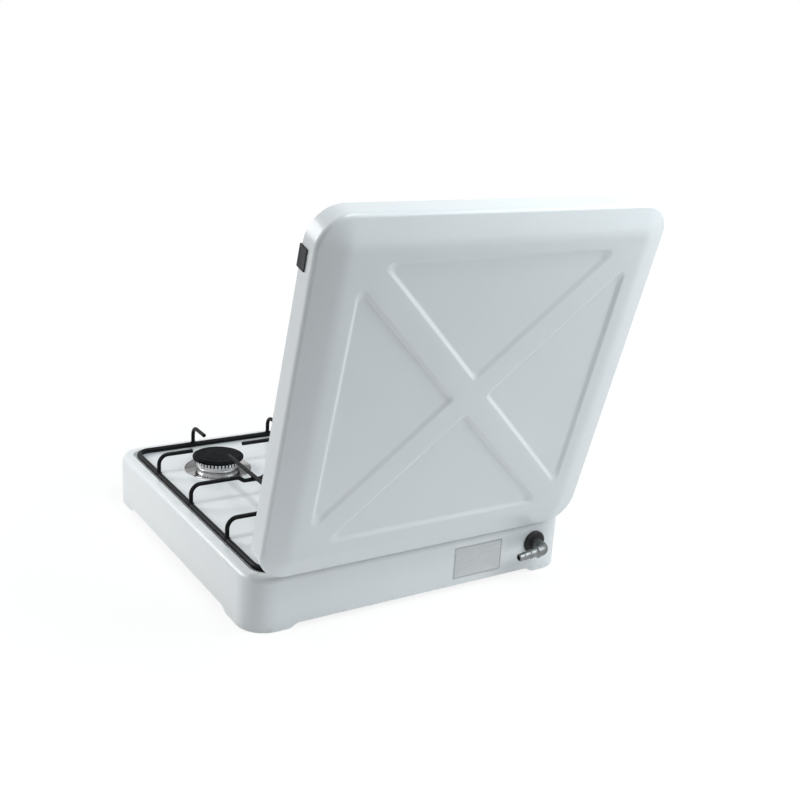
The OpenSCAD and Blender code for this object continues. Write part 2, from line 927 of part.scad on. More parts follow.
// Quarter bend out of the stub, then a tapered nozzle with two steps, all tilted about the stub
module inlet_elbow() {
    stub_len = nozzle_out - grommet_t - stub_proud - seat_gap;
    barb = 0.7;
    waist = nozzle_tip_r + 0.9;
    step_len = 11;
    step_1 = collar_at + step_len + 1;
    step_2 = collar_at + 2 * step_len;
    color(steel_zinc)
    translate([pipe_x, wall_back + nozzle_out, inlet_z])
        rotate([0, nozzle_tilt, 0])
        difference() {
            union() {
                bent_rod([[0, -stub_len], [0, 0], [collar_at, 0]], [elbow_bend], stub_r);
                rotate([0, 90, 0])
                    rotate_extrude()
                        polygon([[0, collar_at - 3], [collar_r, collar_at - 2], [collar_r, collar_at],
                                 [waist + barb, collar_at + 1], [waist, collar_at + 3],
                                 [waist + barb, step_1], [waist - barb / 2, step_1 + 1],
                                 [nozzle_tip_r + barb, step_2], [nozzle_tip_r, step_2 + 1],
                                 [nozzle_tip_r, nozzle_len - 1], [nozzle_tip_r - 1, nozzle_len],
                                 [0, nozzle_len]]);
            }
            translate([collar_at, 0, 0])
                rotate([0, 90, 0])
                    cylinder(r = nozzle_tip_r - 1.6, h = nozzle_len);
        }
}

module pan_frame() {
    half = [frame_x - frame_bend, frame_y - frame_bend];
    color(enamel_black) {
        translate([0, 0, frame_z])
            for (k = [0:3]) {
                across = k % 2 == 0 ? half.x : half.y;
                along = k % 2 == 0 ? half.y : half.x;
                rotate(90 * k) {
                    translate([across + frame_bend, 0, 0])
                        rotate([90, 0, 0])
                            cylinder(r = frame_r, h = 2 * along, center = true);
                    translate([across, along, 0])
                        rotate_extrude(angle = 90)
                            translate([frame_bend, 0])
                                circle(frame_r);
                }
            }
        for (x = [-frame_x, frame_x], y = [-pin_off, pin_off])
            translate([x, y, tray_z - pin_len])
                cylinder(d = pin_d, h = pin_len + frame_r);
    }
}

// Straight copies of the frame's four sides, a weld's gap larger, to cope the ends of the risers
module frame_cope() {
    translate([0, 0, frame_z]) {
        for (x = [-frame_x, frame_x])
            translate([x, 0, 0])
                rotate([90, 0, 0])
                    cylinder(r = frame_r + seat_gap, h = 2 * frame_y, center = true);
        for (y = [-frame_y, frame_y])
            translate([0, y, 0])
                rotate([0, 90, 0])
                    cylinder(r = frame_r + seat_gap, h = 2 * frame_x, center = true);
    }
}

// Riser and finger in the XZ plane, from the frame at the origin inwards along -X
module finger(reach) {
    rotate([90, 0, 0])
        bent_rod([[0, 0], [0, riser_h], [-reach, riser_h]], [finger_bend], finger_r);
}

module pan_side_fingers() {
    color(enamel_black)
    difference() {
        translate([0, 0, frame_z])
            for (s = [-1, 1]) {
                for (turn = [0, 180])
                    rotate(turn)
                        translate([frame_x, s * pitch_y / 2, 0])
                            finger(side_finger);
                for (turn = [90, 270])
                    rotate(turn)
                        translate([frame_y, s * pitch_x / 2, 0])
                            finger(end_finger);
            }
        frame_cope();
    }
}

// Points of a joggle that passes under a rod at the place x
function joggle(x) = [
    [x - joggle_half - joggle_run, riser_h], [x - joggle_half, riser_h - joggle_drop],
    [x + joggle_half, riser_h - joggle_drop], [x + joggle_half + joggle_run, riser_h]
];

module cross_bar(half, crossings) {
    bends = [for (x = crossings) each [joggle_bend, joggle_bend, joggle_bend, joggle_bend]];
    path = concat([[-half, 0], [-half, riser_h]], [for (x = crossings) each joggle(x)],
                  [[half, riser_h], [half, 0]]);
    rotate([90, 0, 0])
        bent_rod(path, concat([finger_bend], bends, [finger_bend]), finger_r);
}

module pan_cross_bars() {
    color(enamel_black)
    difference() {
        translate([0, 0, frame_z]) {
            cross_bar(frame_x, [-pitch_x / 2, pitch_x / 2]);
            rotate(90)
                cross_bar(frame_y, [-pitch_y / 2, 0, pitch_y / 2]);
        }
        frame_cope();
    }
}

module pan_burner_rods() {
    color(enamel_black)
    translate([0, 0, finger_z]) {
        for (y = [-pitch_y / 2, pitch_y / 2])
            translate([0, y, 0])
                rotate([0, 90, 0])
                    cylinder(r = finger_r, h = 2 * rod_half_x, center = true);
        both_sides(pitch_x / 2)
            rotate([90, 0, 0])
                cylinder(r = finger_r, h = 2 * rod_half_y, center = true);
    }
}

// Places a piece of the closed lid at the open stop
module open_lid() {
    translate([0, hinge_y, hinge_z])
        rotate([-lid_open, 0, 0])
            translate([0, -hinge_y, lid_z - hinge_z])
                children();
}

module lid_section() {
    outer = lid_corner_r - sheet / 2;
    inner = outer - lid_band;
    bent_strip([[outer, 0], [outer, lid_skirt], [inner, field_z], [inner - field_lap, field_z]],
               [lid_edge_r, lid_soft_r], sheet);
}

// Corners of the panel between the two arms of the cross that point to +Y;
// far is the outer edge's distance and wide that of the neighbouring panels
function panel_corners(wide, far) =
    let (arm = unit([wide, far]), half = (arm.x * far - cross_half) / arm.y, tip = cross_half / arm.x)
    [[-half, far], [0, tip], [half, far]];

// Radius of the circle inscribed in a panel; its middle lies on the Y axis
function panel_inradius(c) =
    let (base = 2 * c[2].x, leg = norm(c[2] - c[1]))
    base * (c[2].y - c[1].y) / (base + 2 * leg);

// Outline of a panel moved inwards by a distance, with round corners of radius r
function panel_outline(c, inward, r) =
    let (inr = panel_inradius(c), mid = [0, c[2].y - inr], steps = 6, small = 1 - (inward + r) / inr,
         lean = atan2(c[2].y - c[1].y, c[2].x),
         first = [90, 180 + 90 - lean, lean - 90], last = [270 - lean, 270 + lean, 90])
    [for (k = [0:2], i = [0:steps])
        let (angle = first[k] + (last[k] - first[k]) * i / steps)
        mid + (c[k] - mid) * small + r * [cos(angle), sin(angle)]];

// Tapered block of one panel: its floor lies drop below z and its walls spread upwards
module panel_block(wide, far, z, drop, out) {
    corners = panel_corners(wide, far);
    inr = panel_inradius(corners);
    height = drop + panel_over;
    floor_inr = inr - panel_run + out;
    grow = (floor_inr + panel_run * height / drop) / floor_inr;
    translate([0, far - inr, z - drop])
        linear_extrude(height = height, scale = grow)
            translate([0, inr - far])
                polygon(panel_outline(corners, panel_run - out, panel_r));
}

module all_panels(z, drop, out) {
    for (turn = [0, 180])
        rotate(turn)
            panel_block(panel_x, panel_y, z, drop, out);
    for (turn = [90, 270])
        rotate(turn)
            panel_block(panel_y, panel_x, z, drop, out);
}

module lid_panel() {
    color(enamel_white)
    open_lid()
    difference() {
        union() {
            sweep_rect(lid_w, lid_d, lid_corner_r)
                lid_section();
            translate([0, 0, field_z - sheet / 2])
                linear_extrude(height = sheet)
                    round_rect(lid_w - 2 * field_inset, lid_d - 2 * field_inset, lid_corner_r - field_inset);
            all_panels(field_z - sheet / 2, panel_drop, sheet);
        }
        all_panels(field_z + sheet / 2, panel_drop, 0);
        both_sides(hinge_x)
            translate([-notch_w / 2, lid_d / 2 - 3 * sheet, -over])
                cube([notch_w, 4 * sheet, notch_h + over]);
        translate([lid_corner_r - relief_corner - lid_w / 2, lid_d / 2 - relief_deep, -over])
            cube([lid_w - 2 * (lid_corner_r - relief_corner), relief_deep + over, rear_relief + over]);
    }
}

module lid_buffers() {
    inside = sheet + 2 * seat_gap;
    color(rubber_black)
    open_lid()
    for (s = [-1, 1])
        translate([s * (lid_w / 2 - sheet / 2), buffer_in - lid_d / 2, 0])
        difference() {
            translate([-buffer_t - inside / 2, -buffer_len / 2, -buffer_foot])
                cube([2 * buffer_t + inside, buffer_len, buffer_h + buffer_foot]);
            translate([-inside / 2, -buffer_len, -seat_gap])
                cube([inside, 2 * buffer_len, buffer_h + over]);
        }
}

// Underside of the lid's rear band at the place y
band_slope = lid_rise / lid_band;
function band_under(y) =
    let (middle = lid_skirt + band_slope * (lid_d / 2 - sheet / 2 - y))
    middle - sheet / 2 * sqrt(1 + pow(band_slope, 2)) - seat_gap;

module hinge_leaf() {
    knuckle_r = 1.25 * hinge_pin_d;
    tail = hinge_y - leaf_len;
    foot = tail + leaf_t * 4;
    root = hinge_y - hinge_pin_d;
    brow = [hinge_y + 0.55 * hinge_pin_d, pin_z + 2.25 * hinge_pin_d];
    chin = [hinge_y + hinge_pin_d, pin_z + 0.75 * hinge_pin_d];
    weld = leaf_t / 2;
    cheek_x = ear_t / 2 + cheek_gap + cheek_t / 2;
    difference() {
        union() {
            plate_yz(leaf_w)
                polygon([[tail, band_under(tail)], [root, band_under(root)],
                         [root, band_under(root) - leaf_t], [tail, band_under(tail) - leaf_t]]);
            both_sides(cheek_x)
                plate_yz(cheek_t) {
                    translate([hinge_y, pin_z])
                        circle(knuckle_r);
                    polygon([[hinge_y - knuckle_r, pin_z], [foot, band_under(foot) - weld],
                             [root, band_under(root) - weld], brow, chin]);
                }
        }
        translate([0, hinge_y, pin_z])
            rotate([0, 90, 0])
                cylinder(d = hinge_pin_d + 2 * run_gap, h = leaf_w, center = true);
    }
}

module hinge_leaves() {
    color(steel_zinc)
    open_lid()
        both_sides(hinge_x)
            hinge_leaf();
}

// Ear that stands through the rim, with a heel that the open lid's rear skirt rests on
module hinge_bracket() {
    plate_back = back_inner - seat_gap;
    low_top = rim_z - edge_r - bracket_t;
    difference() {
        union() {
            plate_yz(ear_t) {
                translate([hinge_y, hinge_z])
                    circle(d = ear_w);
                translate([hinge_y - ear_w / 2, low_top - ear_low])
                    square([ear_w, hinge_z - low_top + ear_low]);
                translate([hinge_y - ear_w / 2, low_top - ear_low])
                    square([plate_back - hinge_y + ear_w / 2 - bracket_t / 2, ear_low]);
                translate([hinge_y, hinge_z])
                    rotate(-lid_open)
                        translate([hinge_in + stop_gap, -stop_tail])
                            square([stop_t, stop_len]);
            }
            translate([-flange_w / 2, plate_back - bracket_t, low_top - ear_low])
                cube([flange_w, bracket_t, ear_low]);
        }
        translate([0, hinge_y, hinge_z])
            rotate([0, 90, 0])
                cylinder(d = hinge_pin_d + 2 * run_gap, h = flange_w, center = true);
    }
}

module hinge_brackets() {
    color(steel_zinc)
    both_sides(hinge_x)
        hinge_bracket();
}

module hinge_pins() {
    head_t = 1.5;
    head_d = 1.7 * hinge_pin_d;
    half = ear_t / 2 + cheek_gap + cheek_t + cheek_gap;
    color(steel_bright)
    both_sides(hinge_x)
        translate([0, hinge_y, hinge_z])
            rotate([0, 90, 0]) {
                cylinder(d = hinge_pin_d, h = 2 * half, center = true);
                for (s = [-1, 1])
                    translate([0, 0, s * (half + head_t / 2)])
                        cylinder(d = head_d, h = head_t, center = true);
            }
}

body_shell();
corner_gussets();
rubber_feet();
drip_ring(burners[0]);  // drip_ring_front_right
drip_ring(burners[1]);  // drip_ring_front_left
drip_ring(burners[2]);  // drip_ring_rear_right
drip_ring(burners[3]);  // drip_ring_rear_left
burner_base(burners[0]);  // burner_base_front_right
burner_base(burners[1]);  // burner_base_front_left
burner_base(burners[2]);  // burner_base_rear_right
burner_base(burners[3]);  // burner_base_rear_left
burner_head(burners[0]);  // burner_head_front_right
burner_head(burners[1]);  // burner_head_front_left
burner_head(burners[2]);  // burner_head_rear_right
burner_head(burners[3]);  // burner_head_rear_left
burner_cap(burners[0]);  // burner_cap_front_right
burner_cap(burners[1]);  // burner_cap_front_left
burner_cap(burners[2]);  // burner_cap_rear_right
burner_cap(burners[3]);  // burner_cap_rear_left
gas_injectors();
burner_screws();
tap_body(0);  // tap_body_1
tap_body(1);  // tap_body_2
tap_body(2);  // tap_body_3
tap_body(3);  // tap_body_4
tap_plug(0);  // tap_plug_1
tap_plug(1);  // tap_plug_2
tap_plug(2);  // tap_plug_3
tap_plug(3);  // tap_plug_4
tap_spindle(0);  // tap_spindle_1
tap_spindle(1);  // tap_spindle_2
tap_spindle(2);  // tap_spindle_3
tap_spindle(3);  // tap_spindle_4
knob(0);  // knob_1
knob(1);  // knob_2
knob(2);  // knob_3
knob(3);  // knob_4
knob_bezels();
burner_tube(0);  // burner_tube_1
burner_tube(1);  // burner_tube_2
burner_tube(2);  // burner_tube_3
burner_tube(3);  // burner_tube_4
gas_rail();
rail_brackets();
inlet_pipe();
inlet_block();
inlet_grommet();
inlet_elbow();
pan_frame();
pan_cross_bars();
pan_burner_rods();
pan_side_fingers();
lid_panel();
lid_buffers();
hinge_leaves();
hinge_brackets();
hinge_pins();
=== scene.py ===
# %% [markdown]
# # A gas hob with its lid folded back
# The hob is a pressed, enamelled steel body with four burners, a welded wire pan support and a lid.
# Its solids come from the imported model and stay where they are. Most of them are exact already, so
# they only need a finish. What a solid shows badly is made here as a surface worked out with numpy:
# the soft pressing of the lid, the weld beads, the plate on the back wall and the knobs' marks.

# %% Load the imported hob
import json

import bpy
import numpy as np
from mathutils import Matrix, Vector


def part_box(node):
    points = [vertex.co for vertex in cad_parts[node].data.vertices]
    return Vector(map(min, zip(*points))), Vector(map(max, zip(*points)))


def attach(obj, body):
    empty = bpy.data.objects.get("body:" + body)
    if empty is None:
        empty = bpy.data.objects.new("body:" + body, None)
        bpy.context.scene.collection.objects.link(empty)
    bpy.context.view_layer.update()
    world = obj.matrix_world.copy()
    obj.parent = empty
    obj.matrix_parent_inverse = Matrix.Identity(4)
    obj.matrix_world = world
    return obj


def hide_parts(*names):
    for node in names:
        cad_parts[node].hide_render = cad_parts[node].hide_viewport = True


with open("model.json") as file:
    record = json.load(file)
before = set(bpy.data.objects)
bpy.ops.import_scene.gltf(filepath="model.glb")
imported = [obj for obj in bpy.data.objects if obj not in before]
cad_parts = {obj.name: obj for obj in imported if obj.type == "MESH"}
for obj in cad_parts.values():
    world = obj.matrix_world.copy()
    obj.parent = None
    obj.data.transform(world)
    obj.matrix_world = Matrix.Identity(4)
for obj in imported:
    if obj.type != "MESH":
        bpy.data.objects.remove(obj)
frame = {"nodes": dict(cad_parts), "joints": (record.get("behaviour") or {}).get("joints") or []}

MM = 0.001
scene = bpy.context.scene
node_of = frame["nodes"]
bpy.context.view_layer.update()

# %% [markdown]
# ## Camera
# The photograph looks at the hob from behind its right-hand corner, from a little above the rim,
# and was held slightly crooked. A camera could be aimed with a constraint, but a turn that is worked
# out from three angles keeps the crookedness too, and needs no empty to aim at.

# %% Camera
CAMERA_PLACE = (0.7945, 1.4019, 0.7321)
CAMERA_ANGLES = (147.11, 17.92, 3.68)
CAMERA_LENS, SENSOR_WIDTH = 51.79, 36.0


def camera_turn(azimuth, elevation, roll):
    """Columns right, up and back: back points from the hob to the camera, right is level before the
    roll, up is square to both, and the roll turns right towards up."""
    a, e, r = np.radians([azimuth, elevation, roll])
    back = np.array([np.sin(a) * np.cos(e), -np.cos(a) * np.cos(e), np.sin(e)])
    right = np.cross(-back, [0.0, 0.0, 1.0])
    right /= np.linalg.norm(right)
    up = np.cross(right, -back)
    turned = [np.cos(r) * right + np.sin(r) * up, np.cos(r) * up - np.sin(r) * right, back]
    return np.column_stack(turned)


stand = np.eye(4)
stand[:3, :3] = camera_turn(*CAMERA_ANGLES)
stand[:3, 3] = CAMERA_PLACE
camera = bpy.data.objects.new("photo_camera", bpy.data.cameras.new("photo_camera"))
camera.data.sensor_width = SENSOR_WIDTH
camera.data.lens = CAMERA_LENS
camera.matrix_world = Matrix(stand.tolist())
scene.collection.objects.link(camera)
scene.camera = camera
print("camera at", CAMERA_PLACE, "lens", CAMERA_LENS)

# %% [markdown]
# ## Shader nodes
# The sky, the paper and every finish are built from shader nodes. Each node could be made, set and
# joined by hand, in four or five lines. One helper that does this, and a few short ones for the
# kinds of node that come up most, let a finish read as a list of what the surface does.

# %% Helpers for shader nodes
def add(tree, kind, output, settings=None, **inputs):
    """Adds a shader node. An input is a value or another node's output; in0, in1 and so on stand for
    inputs by their place. Returns the named output."""
    node = tree.nodes.new("ShaderNode" + kind)
    for key, value in (settings or {}).items():
        setattr(node, key, value)
    for key, value in inputs.items():
        socket = node.inputs[int(key[2:]) if key.startswith("in") else key.replace("_", " ")]
        if isinstance(value, bpy.types.NodeSocket):
            tree.links.new(value, socket)
        else:
            socket.default_value = value
    return node.outputs[output]


def maths(tree, operation, *values):
    """The result of an operation on one or two values or outputs."""
    by_place = {f"in{place}": value for place, value in enumerate(values)}
    return add(tree, "Math", "Value", {"operation": operation}, **by_place)


def vectors(tree, operation, output, *values):
    """The result of an operation on one or two vectors; output says if it is a Vector or a Value."""
    by_place = {f"in{place}": value for place, value in enumerate(values)}
    return add(tree, "VectorMath", output, {"operation": operation}, **by_place)


def noise(tree, place, lumps, detail=3.0):
    """Noise with about that many lumps to the metre."""
    return add(tree, "TexNoise", "Fac", Vector=place, Scale=lumps, Detail=detail)


def between(tree, value, low, high, start=0.35, end=0.65):
    """Takes a value from start to end over to low to high, and holds it there outside. Most of a
    noise lies between the usual start and end."""
    return add(tree, "MapRange", "Result", Value=value, From_Min=start, From_Max=end,
               To_Min=low, To_Max=high)


print("node helpers ready")

# %% [markdown]
# ## Light
# A white product is lit by large soft boxes. A picture of a studio could light it too, but lamps can
# be placed one by one. One stands high on the right of the picture, so that the lid's back grows
# darker towards its left edge and each pressed edge gets a light and a dark side. Another stands in
# front of the hob and lights the burner tray and the side wall. A third hangs above the lid and
# brightens its top edge, and a weak one on the left of the picture softens the shadows.

# %% Soft boxes
scene.view_settings.view_transform = "Standard"
COOL, FAINTLY_COOL, NEARLY_WHITE = (0.9, 0.97, 1.0), (0.95, 0.99, 1.0), (0.97, 0.995, 1.0)


def soft_box(name, place, aim, size, watts, colour):
    """A square area lamp at a place, turned so that it shines at the point aim."""
    lamp = bpy.data.lights.new(name, "AREA")
    lamp.shape = "SQUARE"
    lamp.size = size
    lamp.energy = watts
    lamp.color = colour
    box = bpy.data.objects.new(name, lamp)
    box.location = place
    box.rotation_euler = (Vector(aim) - Vector(place)).to_track_quat("-Z", "Y").to_euler()
    scene.collection.objects.link(box)


soft_box("box_right", place=(-0.85, 0.95, 1.05), aim=(0.0, 0.31, 0.3),
         size=0.9, watts=11.0, colour=COOL)
soft_box("box_front", place=(1.6, -1.5, 1.3), aim=(0.05, -0.05, 0.08),
         size=1.2, watts=35.0, colour=NEARLY_WHITE)
soft_box("box_top", place=(-0.3, 0.9, 2.4), aim=(0.0, 0.3, 0.4),
         size=0.8, watts=25.0, colour=COOL)
soft_box("box_left", place=(2.2, 0.3, 0.9), aim=(0.1, 0.0, 0.08),
         size=1.2, watts=3.5, colour=FAINTLY_COOL)

# %% [markdown]
# ## Sky
# A plain white sky would light the hob from all sides and wash its shapes out, and a dark one would
# show behind it. So the sky asks what kind of ray meets it: it is white where the camera or a shiny
# surface looks at it, and only a weak light for everything else.

# %% Sky
SKY_COLOUR, SKY_STRENGTH = (0.93, 0.98, 1.0, 1.0), 0.05
PLAIN_WHITE = (1.0, 1.0, 1.0, 1.0)


def seen_directly(tree):
    """One for rays from the camera, from a shiny surface or through glass, and zero for the rest."""
    path = tree.nodes.new("ShaderNodeLightPath").outputs
    either = maths(tree, "MAXIMUM", path["Is Camera Ray"], path["Is Glossy Ray"])
    return maths(tree, "MAXIMUM", either, path["Is Transmission Ray"])


def white_sky():
    """A sky that is white to look at and weaker as a light."""
    sky = bpy.data.worlds.new("studio_sky")
    sky.use_nodes = True
    tree = sky.node_tree
    tree.nodes.clear()
    light = add(tree, "Background", "Background", Color=SKY_COLOUR, Strength=SKY_STRENGTH)
    white = add(tree, "Background", "Background", Color=PLAIN_WHITE)
    mix = add(tree, "MixShader", "Shader", in0=seen_directly(tree), in1=light, in2=white)
    tree.links.new(mix, tree.nodes.new("ShaderNodeOutputWorld").inputs["Surface"])
    return sky


scene.world = white_sky()
print("sky:", scene.world.name, "with strength", SKY_STRENGTH, "as a light")

# %% [markdown]
# ## Floor
# The hob stands on white paper. Paper that is lit like the object would come out grey, so most of
# its white is its own when it is seen directly, and the rest takes the light, which keeps the
# shadow. Its own white grows with the distance from the hob, so that the paper has no horizon.

# %% Paper floor
FLOOR_HALF = 40.0
OWN_WHITE_NEAR, OWN_WHITE_FAR = 0.86, 1.0
NEAR_RADIUS, FAR_RADIUS = 0.45, 1.6
LIT_SHARE = 0.195
PAPER_DARK, PAPER_LIGHT = 0.82, 0.88
FIBRE_LUMPS, FIBRE_DETAIL = 60.0, 2.0


def paper_finish():
    """White paper: when seen directly, its own white and a share of a lit surface, and otherwise
    just the lit surface. The own white grows from the near radius to the far one."""
    paper = bpy.data.materials.new("white_paper")
    paper.use_nodes = True
    tree = paper.node_tree
    tree.nodes.clear()
    place = add(tree, "TexCoord", "Object")
    fibre = noise(tree, place, FIBRE_LUMPS, FIBRE_DETAIL)
    tone = between(tree, fibre, PAPER_DARK, PAPER_LIGHT, 0.0, 1.0)
    lit = add(tree, "BsdfDiffuse", "BSDF", Color=tone)
    away = vectors(tree, "LENGTH", "Value", place)
    white = between(tree, away, OWN_WHITE_NEAR, OWN_WHITE_FAR, NEAR_RADIUS, FAR_RADIUS)
    own = add(tree, "Emission", "Emission", Strength=white)
    dark = add(tree, "Emission", "Emission", Strength=0.0)
    some = add(tree, "MixShader", "Shader", in0=LIT_SHARE, in1=dark, in2=lit)
    both = add(tree, "AddShader", "Shader", in0=own, in1=some)
    mix = add(tree, "MixShader", "Shader", in0=seen_directly(tree), in1=lit, in2=both)
    tree.links.new(mix, tree.nodes.new("ShaderNodeOutputMaterial").inputs["Surface"])
    return paper


floor_mesh = bpy.data.meshes.new("paper_floor")
floor_corners = FLOOR_HALF * np.array([[-1, -1, 0], [1, -1, 0], [1, 1, 0], [-1, 1, 0]], float)
floor_mesh.from_pydata(floor_corners.tolist(), [], [(0, 1, 2, 3)])
floor_mesh.materials.append(paper_finish())
floor = bpy.data.objects.new("paper_floor", floor_mesh)
scene.collection.objects.link(floor)
print("floor:", 2 * FLOOR_HALF, "m square")

# %% [markdown]
# ## How a finish is put together
# Each finish is one shader with its plain values set on it. What the real surface has besides, a slow
# change of tone, a change of gloss and a fine relief, could come from painted pictures. Noise in the
# object's own coordinates needs no picture and no unwrapping, and because these coordinates are the
# hob's own metres, a grain keeps its real size on every piece.

# %% Helpers for finishes
def start_finish(name, **plain):
    """A new material whose shader has the plain values set, by socket name with _ for a space."""
    finish = bpy.data.materials.new(name)
    finish.use_nodes = True
    shader = finish.node_tree.nodes["Principled BSDF"]
    for socket, value in plain.items():
        shader.inputs[socket.replace("_", " ")].default_value = value
    return finish, finish.node_tree, shader


def spot(tree, shift=(0.0, 0.0, 0.0), stretch=(1.0, 1.0, 1.0)):
    """The object's coordinates, moved by shift metres and then stretched along each axis."""
    place = add(tree, "TexCoord", "Object")
    moved = add(tree, "Mapping", "Vector", {"vector_type": "POINT"}, Vector=place, Location=shift)
    return vectors(tree, "MULTIPLY", "Vector", moved, stretch)


def flatten(tree, place):
    """A place with its height taken away."""
    return vectors(tree, "MULTIPLY", "Vector", place, (1.0, 1.0, 0.0))


def height_of(tree, place):
    """The height of a place above the table."""
    return add(tree, "SeparateXYZ", "Z", Vector=place)


def rings(tree, place, lines):
    """Noise that depends only on the distance from the Z axis, as tool marks on a turned piece do."""
    radius = vectors(tree, "LENGTH", "Value", flatten(tree, place))
    return add(tree, "TexNoise", "Fac", {"noise_dimensions": "1D"}, W=radius, Scale=lines, Detail=2.0)


def tint(tree, share, first, second):
    """A colour between two colours or colour outputs."""
    node = tree.nodes.new("ShaderNodeMix")
    node.data_type = "RGBA"
    for index, value in ((0, share), (6, first), (7, second)):
        if isinstance(value, bpy.types.NodeSocket):
            tree.links.new(value, node.inputs[index])
        else:
            node.inputs[index].default_value = value if index == 0 else (*value, 1.0)
    return node.outputs[2]


def mottled(tree, place, lumps, dark, light, detail=3.0):
    """A tone that wanders between a dark and a light one in lumps."""
    return tint(tree, between(tree, noise(tree, place, lumps, detail), 0.0, 1.0), dark, light)


def join(tree, shader, colour, roughness):
    """Joins a colour and a roughness to the shader."""
    tree.links.new(colour, shader.inputs["Base Color"])
    tree.links.new(roughness, shader.inputs["Roughness"])


def relief(tree, shader, height, depth, strength):
    """Turns a height from 0 to 1 into a relief of that depth in metres on the shader."""
    bump = add(tree, "Bump", "Normal", Height=height, Distance=depth, Strength=strength)
    tree.links.new(bump, shader.inputs["Normal"])


print("finish helpers ready")

# %% [markdown]
# ## White enamel
# Vitreous enamel is glass melted onto steel. It is glossy and never quite flat: it has a faint
# orange peel, a slow change of tone where the coat is thicker, and a very fine speckle. A clear coat
# on the shader gives the glass, and noise gives the rest. The roughness stays above 0.28, because
# the render's noise filter leaves blotches where noise carries it across that value. The body's
# lower edge is scuffed where it is set down. Body and lid wear the same enamel, but it comes in two
# copies: the body's white is painted lighter, as painted light, and the lid's darker, as painted
# shade for the shade that the lid's back is in.

# %% White enamel
# Painted light and shade: one enamel in two copies, the body's white lighter and the lid's darker.
BODY_WHITE_PAINTED_LIGHT = ((0.862, 0.878, 0.887), (0.892, 0.906, 0.913))
LID_WHITE_PAINTED_SHADE = ((0.822, 0.84, 0.851), (0.848, 0.864, 0.873))
WHITE_LUMPS = 5.0
SPECKLE, SPECKLE_LUMPS, SPECKLE_SHARE = (0.76, 0.775, 0.785), 420.0, 0.12
SCUFF, SCUFF_LUMPS, SCUFF_SHARE = (0.52, 0.52, 0.51), 140.0, 0.55
SCUFF_FROM, SCUFF_TO, SCUFF_HEIGHT = 0.52, 0.7, 0.012
GLOSS_LUMPS, GLOSS_ROUGH = 34.0, (0.29, 0.33)
PEEL_LUMPS, PEEL_DEPTH, PEEL_STRENGTH = 160.0, 0.00003, 0.3


def white_enamel(name, white, scuff_below=0.0):
    """Glossy enamel between two tones of white. Below scuff_below metres above the table it is worn
    in patches."""
    finish, tree, shader = start_finish(name, Coat_Weight=0.15, Coat_Roughness=0.16, IOR=1.48)
    place = spot(tree)
    tone = mottled(tree, place, WHITE_LUMPS, *white, detail=2.0)
    fine = between(tree, noise(tree, place, SPECKLE_LUMPS, 2.0), 0.0, SPECKLE_SHARE)
    tone = tint(tree, fine, tone, SPECKLE)
    if scuff_below > 0.0:
        low = between(tree, height_of(tree, place), 1.0, 0.0, 0.0, scuff_below)
        patches = between(tree, noise(tree, place, SCUFF_LUMPS, 5.0), 0.0, SCUFF_SHARE,
                          SCUFF_FROM, SCUFF_TO)
        tone = tint(tree, maths(tree, "MULTIPLY", low, patches), tone, SCUFF)
    join(tree, shader, tone, between(tree, noise(tree, place, GLOSS_LUMPS), *GLOSS_ROUGH))
    relief(tree, shader, noise(tree, place, PEEL_LUMPS, 1.0), PEEL_DEPTH, PEEL_STRENGTH)
    return finish


body_enamel_painted_light = white_enamel("white_enamel_body", BODY_WHITE_PAINTED_LIGHT, scuff_below=SCUFF_HEIGHT)
lid_enamel_painted_shade = white_enamel("white_enamel_lid", LID_WHITE_PAINTED_SHADE)
print("made", body_enamel_painted_light.name, "and", lid_enamel_painted_shade.name)

# %% [markdown]
# ## Black enamel
# The pan support and the burner caps are coated with black enamel that is fired without a gloss. It
# is faintly grainy, and pans rub it a little lighter on top of the rods. The rubbed places could be
# painted on, but all of them lie at one height, so the height picks them out and noise breaks them up.

# %% Black enamel
BLACK_DARK, BLACK_LIGHT, BLACK_LUMPS = (0.005, 0.0055, 0.006), (0.010, 0.0105, 0.0115), 30.0
RUBBED, RUBBED_LUMPS, RUBBED_SHARE = (0.03, 0.031, 0.032), 95.0, 0.8
RUBBED_FROM, RUBBED_TO, RUBBED_DEPTH = 0.5, 0.68, 0.003
SATIN_LUMPS = 70.0
GRAIN_LUMPS, GRAIN_DEPTH, GRAIN_STRENGTH = 900.0, 0.00008, 0.6


def black_enamel(name, rough, sheen, rubbed_above=None):
    """Satin black enamel with rough as its low and high roughness and sheen as the strength of its
    reflection, rubbed above a height in metres."""
    finish, tree, shader = start_finish(name, IOR=1.5, Specular_IOR_Level=sheen)
    place = spot(tree)
    tone = mottled(tree, place, BLACK_LUMPS, BLACK_DARK, BLACK_LIGHT)
    if rubbed_above is not None:
        top = between(tree, height_of(tree, place), 0.0, 1.0,
                      rubbed_above, rubbed_above + RUBBED_DEPTH)
        streaks = between(tree, noise(tree, place, RUBBED_LUMPS, 4.0), 0.0, RUBBED_SHARE,
                          RUBBED_FROM, RUBBED_TO)
        tone = tint(tree, maths(tree, "MULTIPLY", top, streaks), tone, RUBBED)
    join(tree, shader, tone, between(tree, noise(tree, place, SATIN_LUMPS), *rough))
    relief(tree, shader, noise(tree, place, GRAIN_LUMPS), GRAIN_DEPTH, GRAIN_STRENGTH)
    return finish


rubbed_from_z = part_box("pan_side_fingers")[1].z - RUBBED_DEPTH
wire_enamel = black_enamel("black_enamel_wire", rough=(0.34, 0.48), sheen=0.08,
                           rubbed_above=rubbed_from_z)
cap_enamel = black_enamel("black_enamel_cap", rough=(0.46, 0.58), sheen=0.02)
print("made", wire_enamel.name, "and", cap_enamel.name)
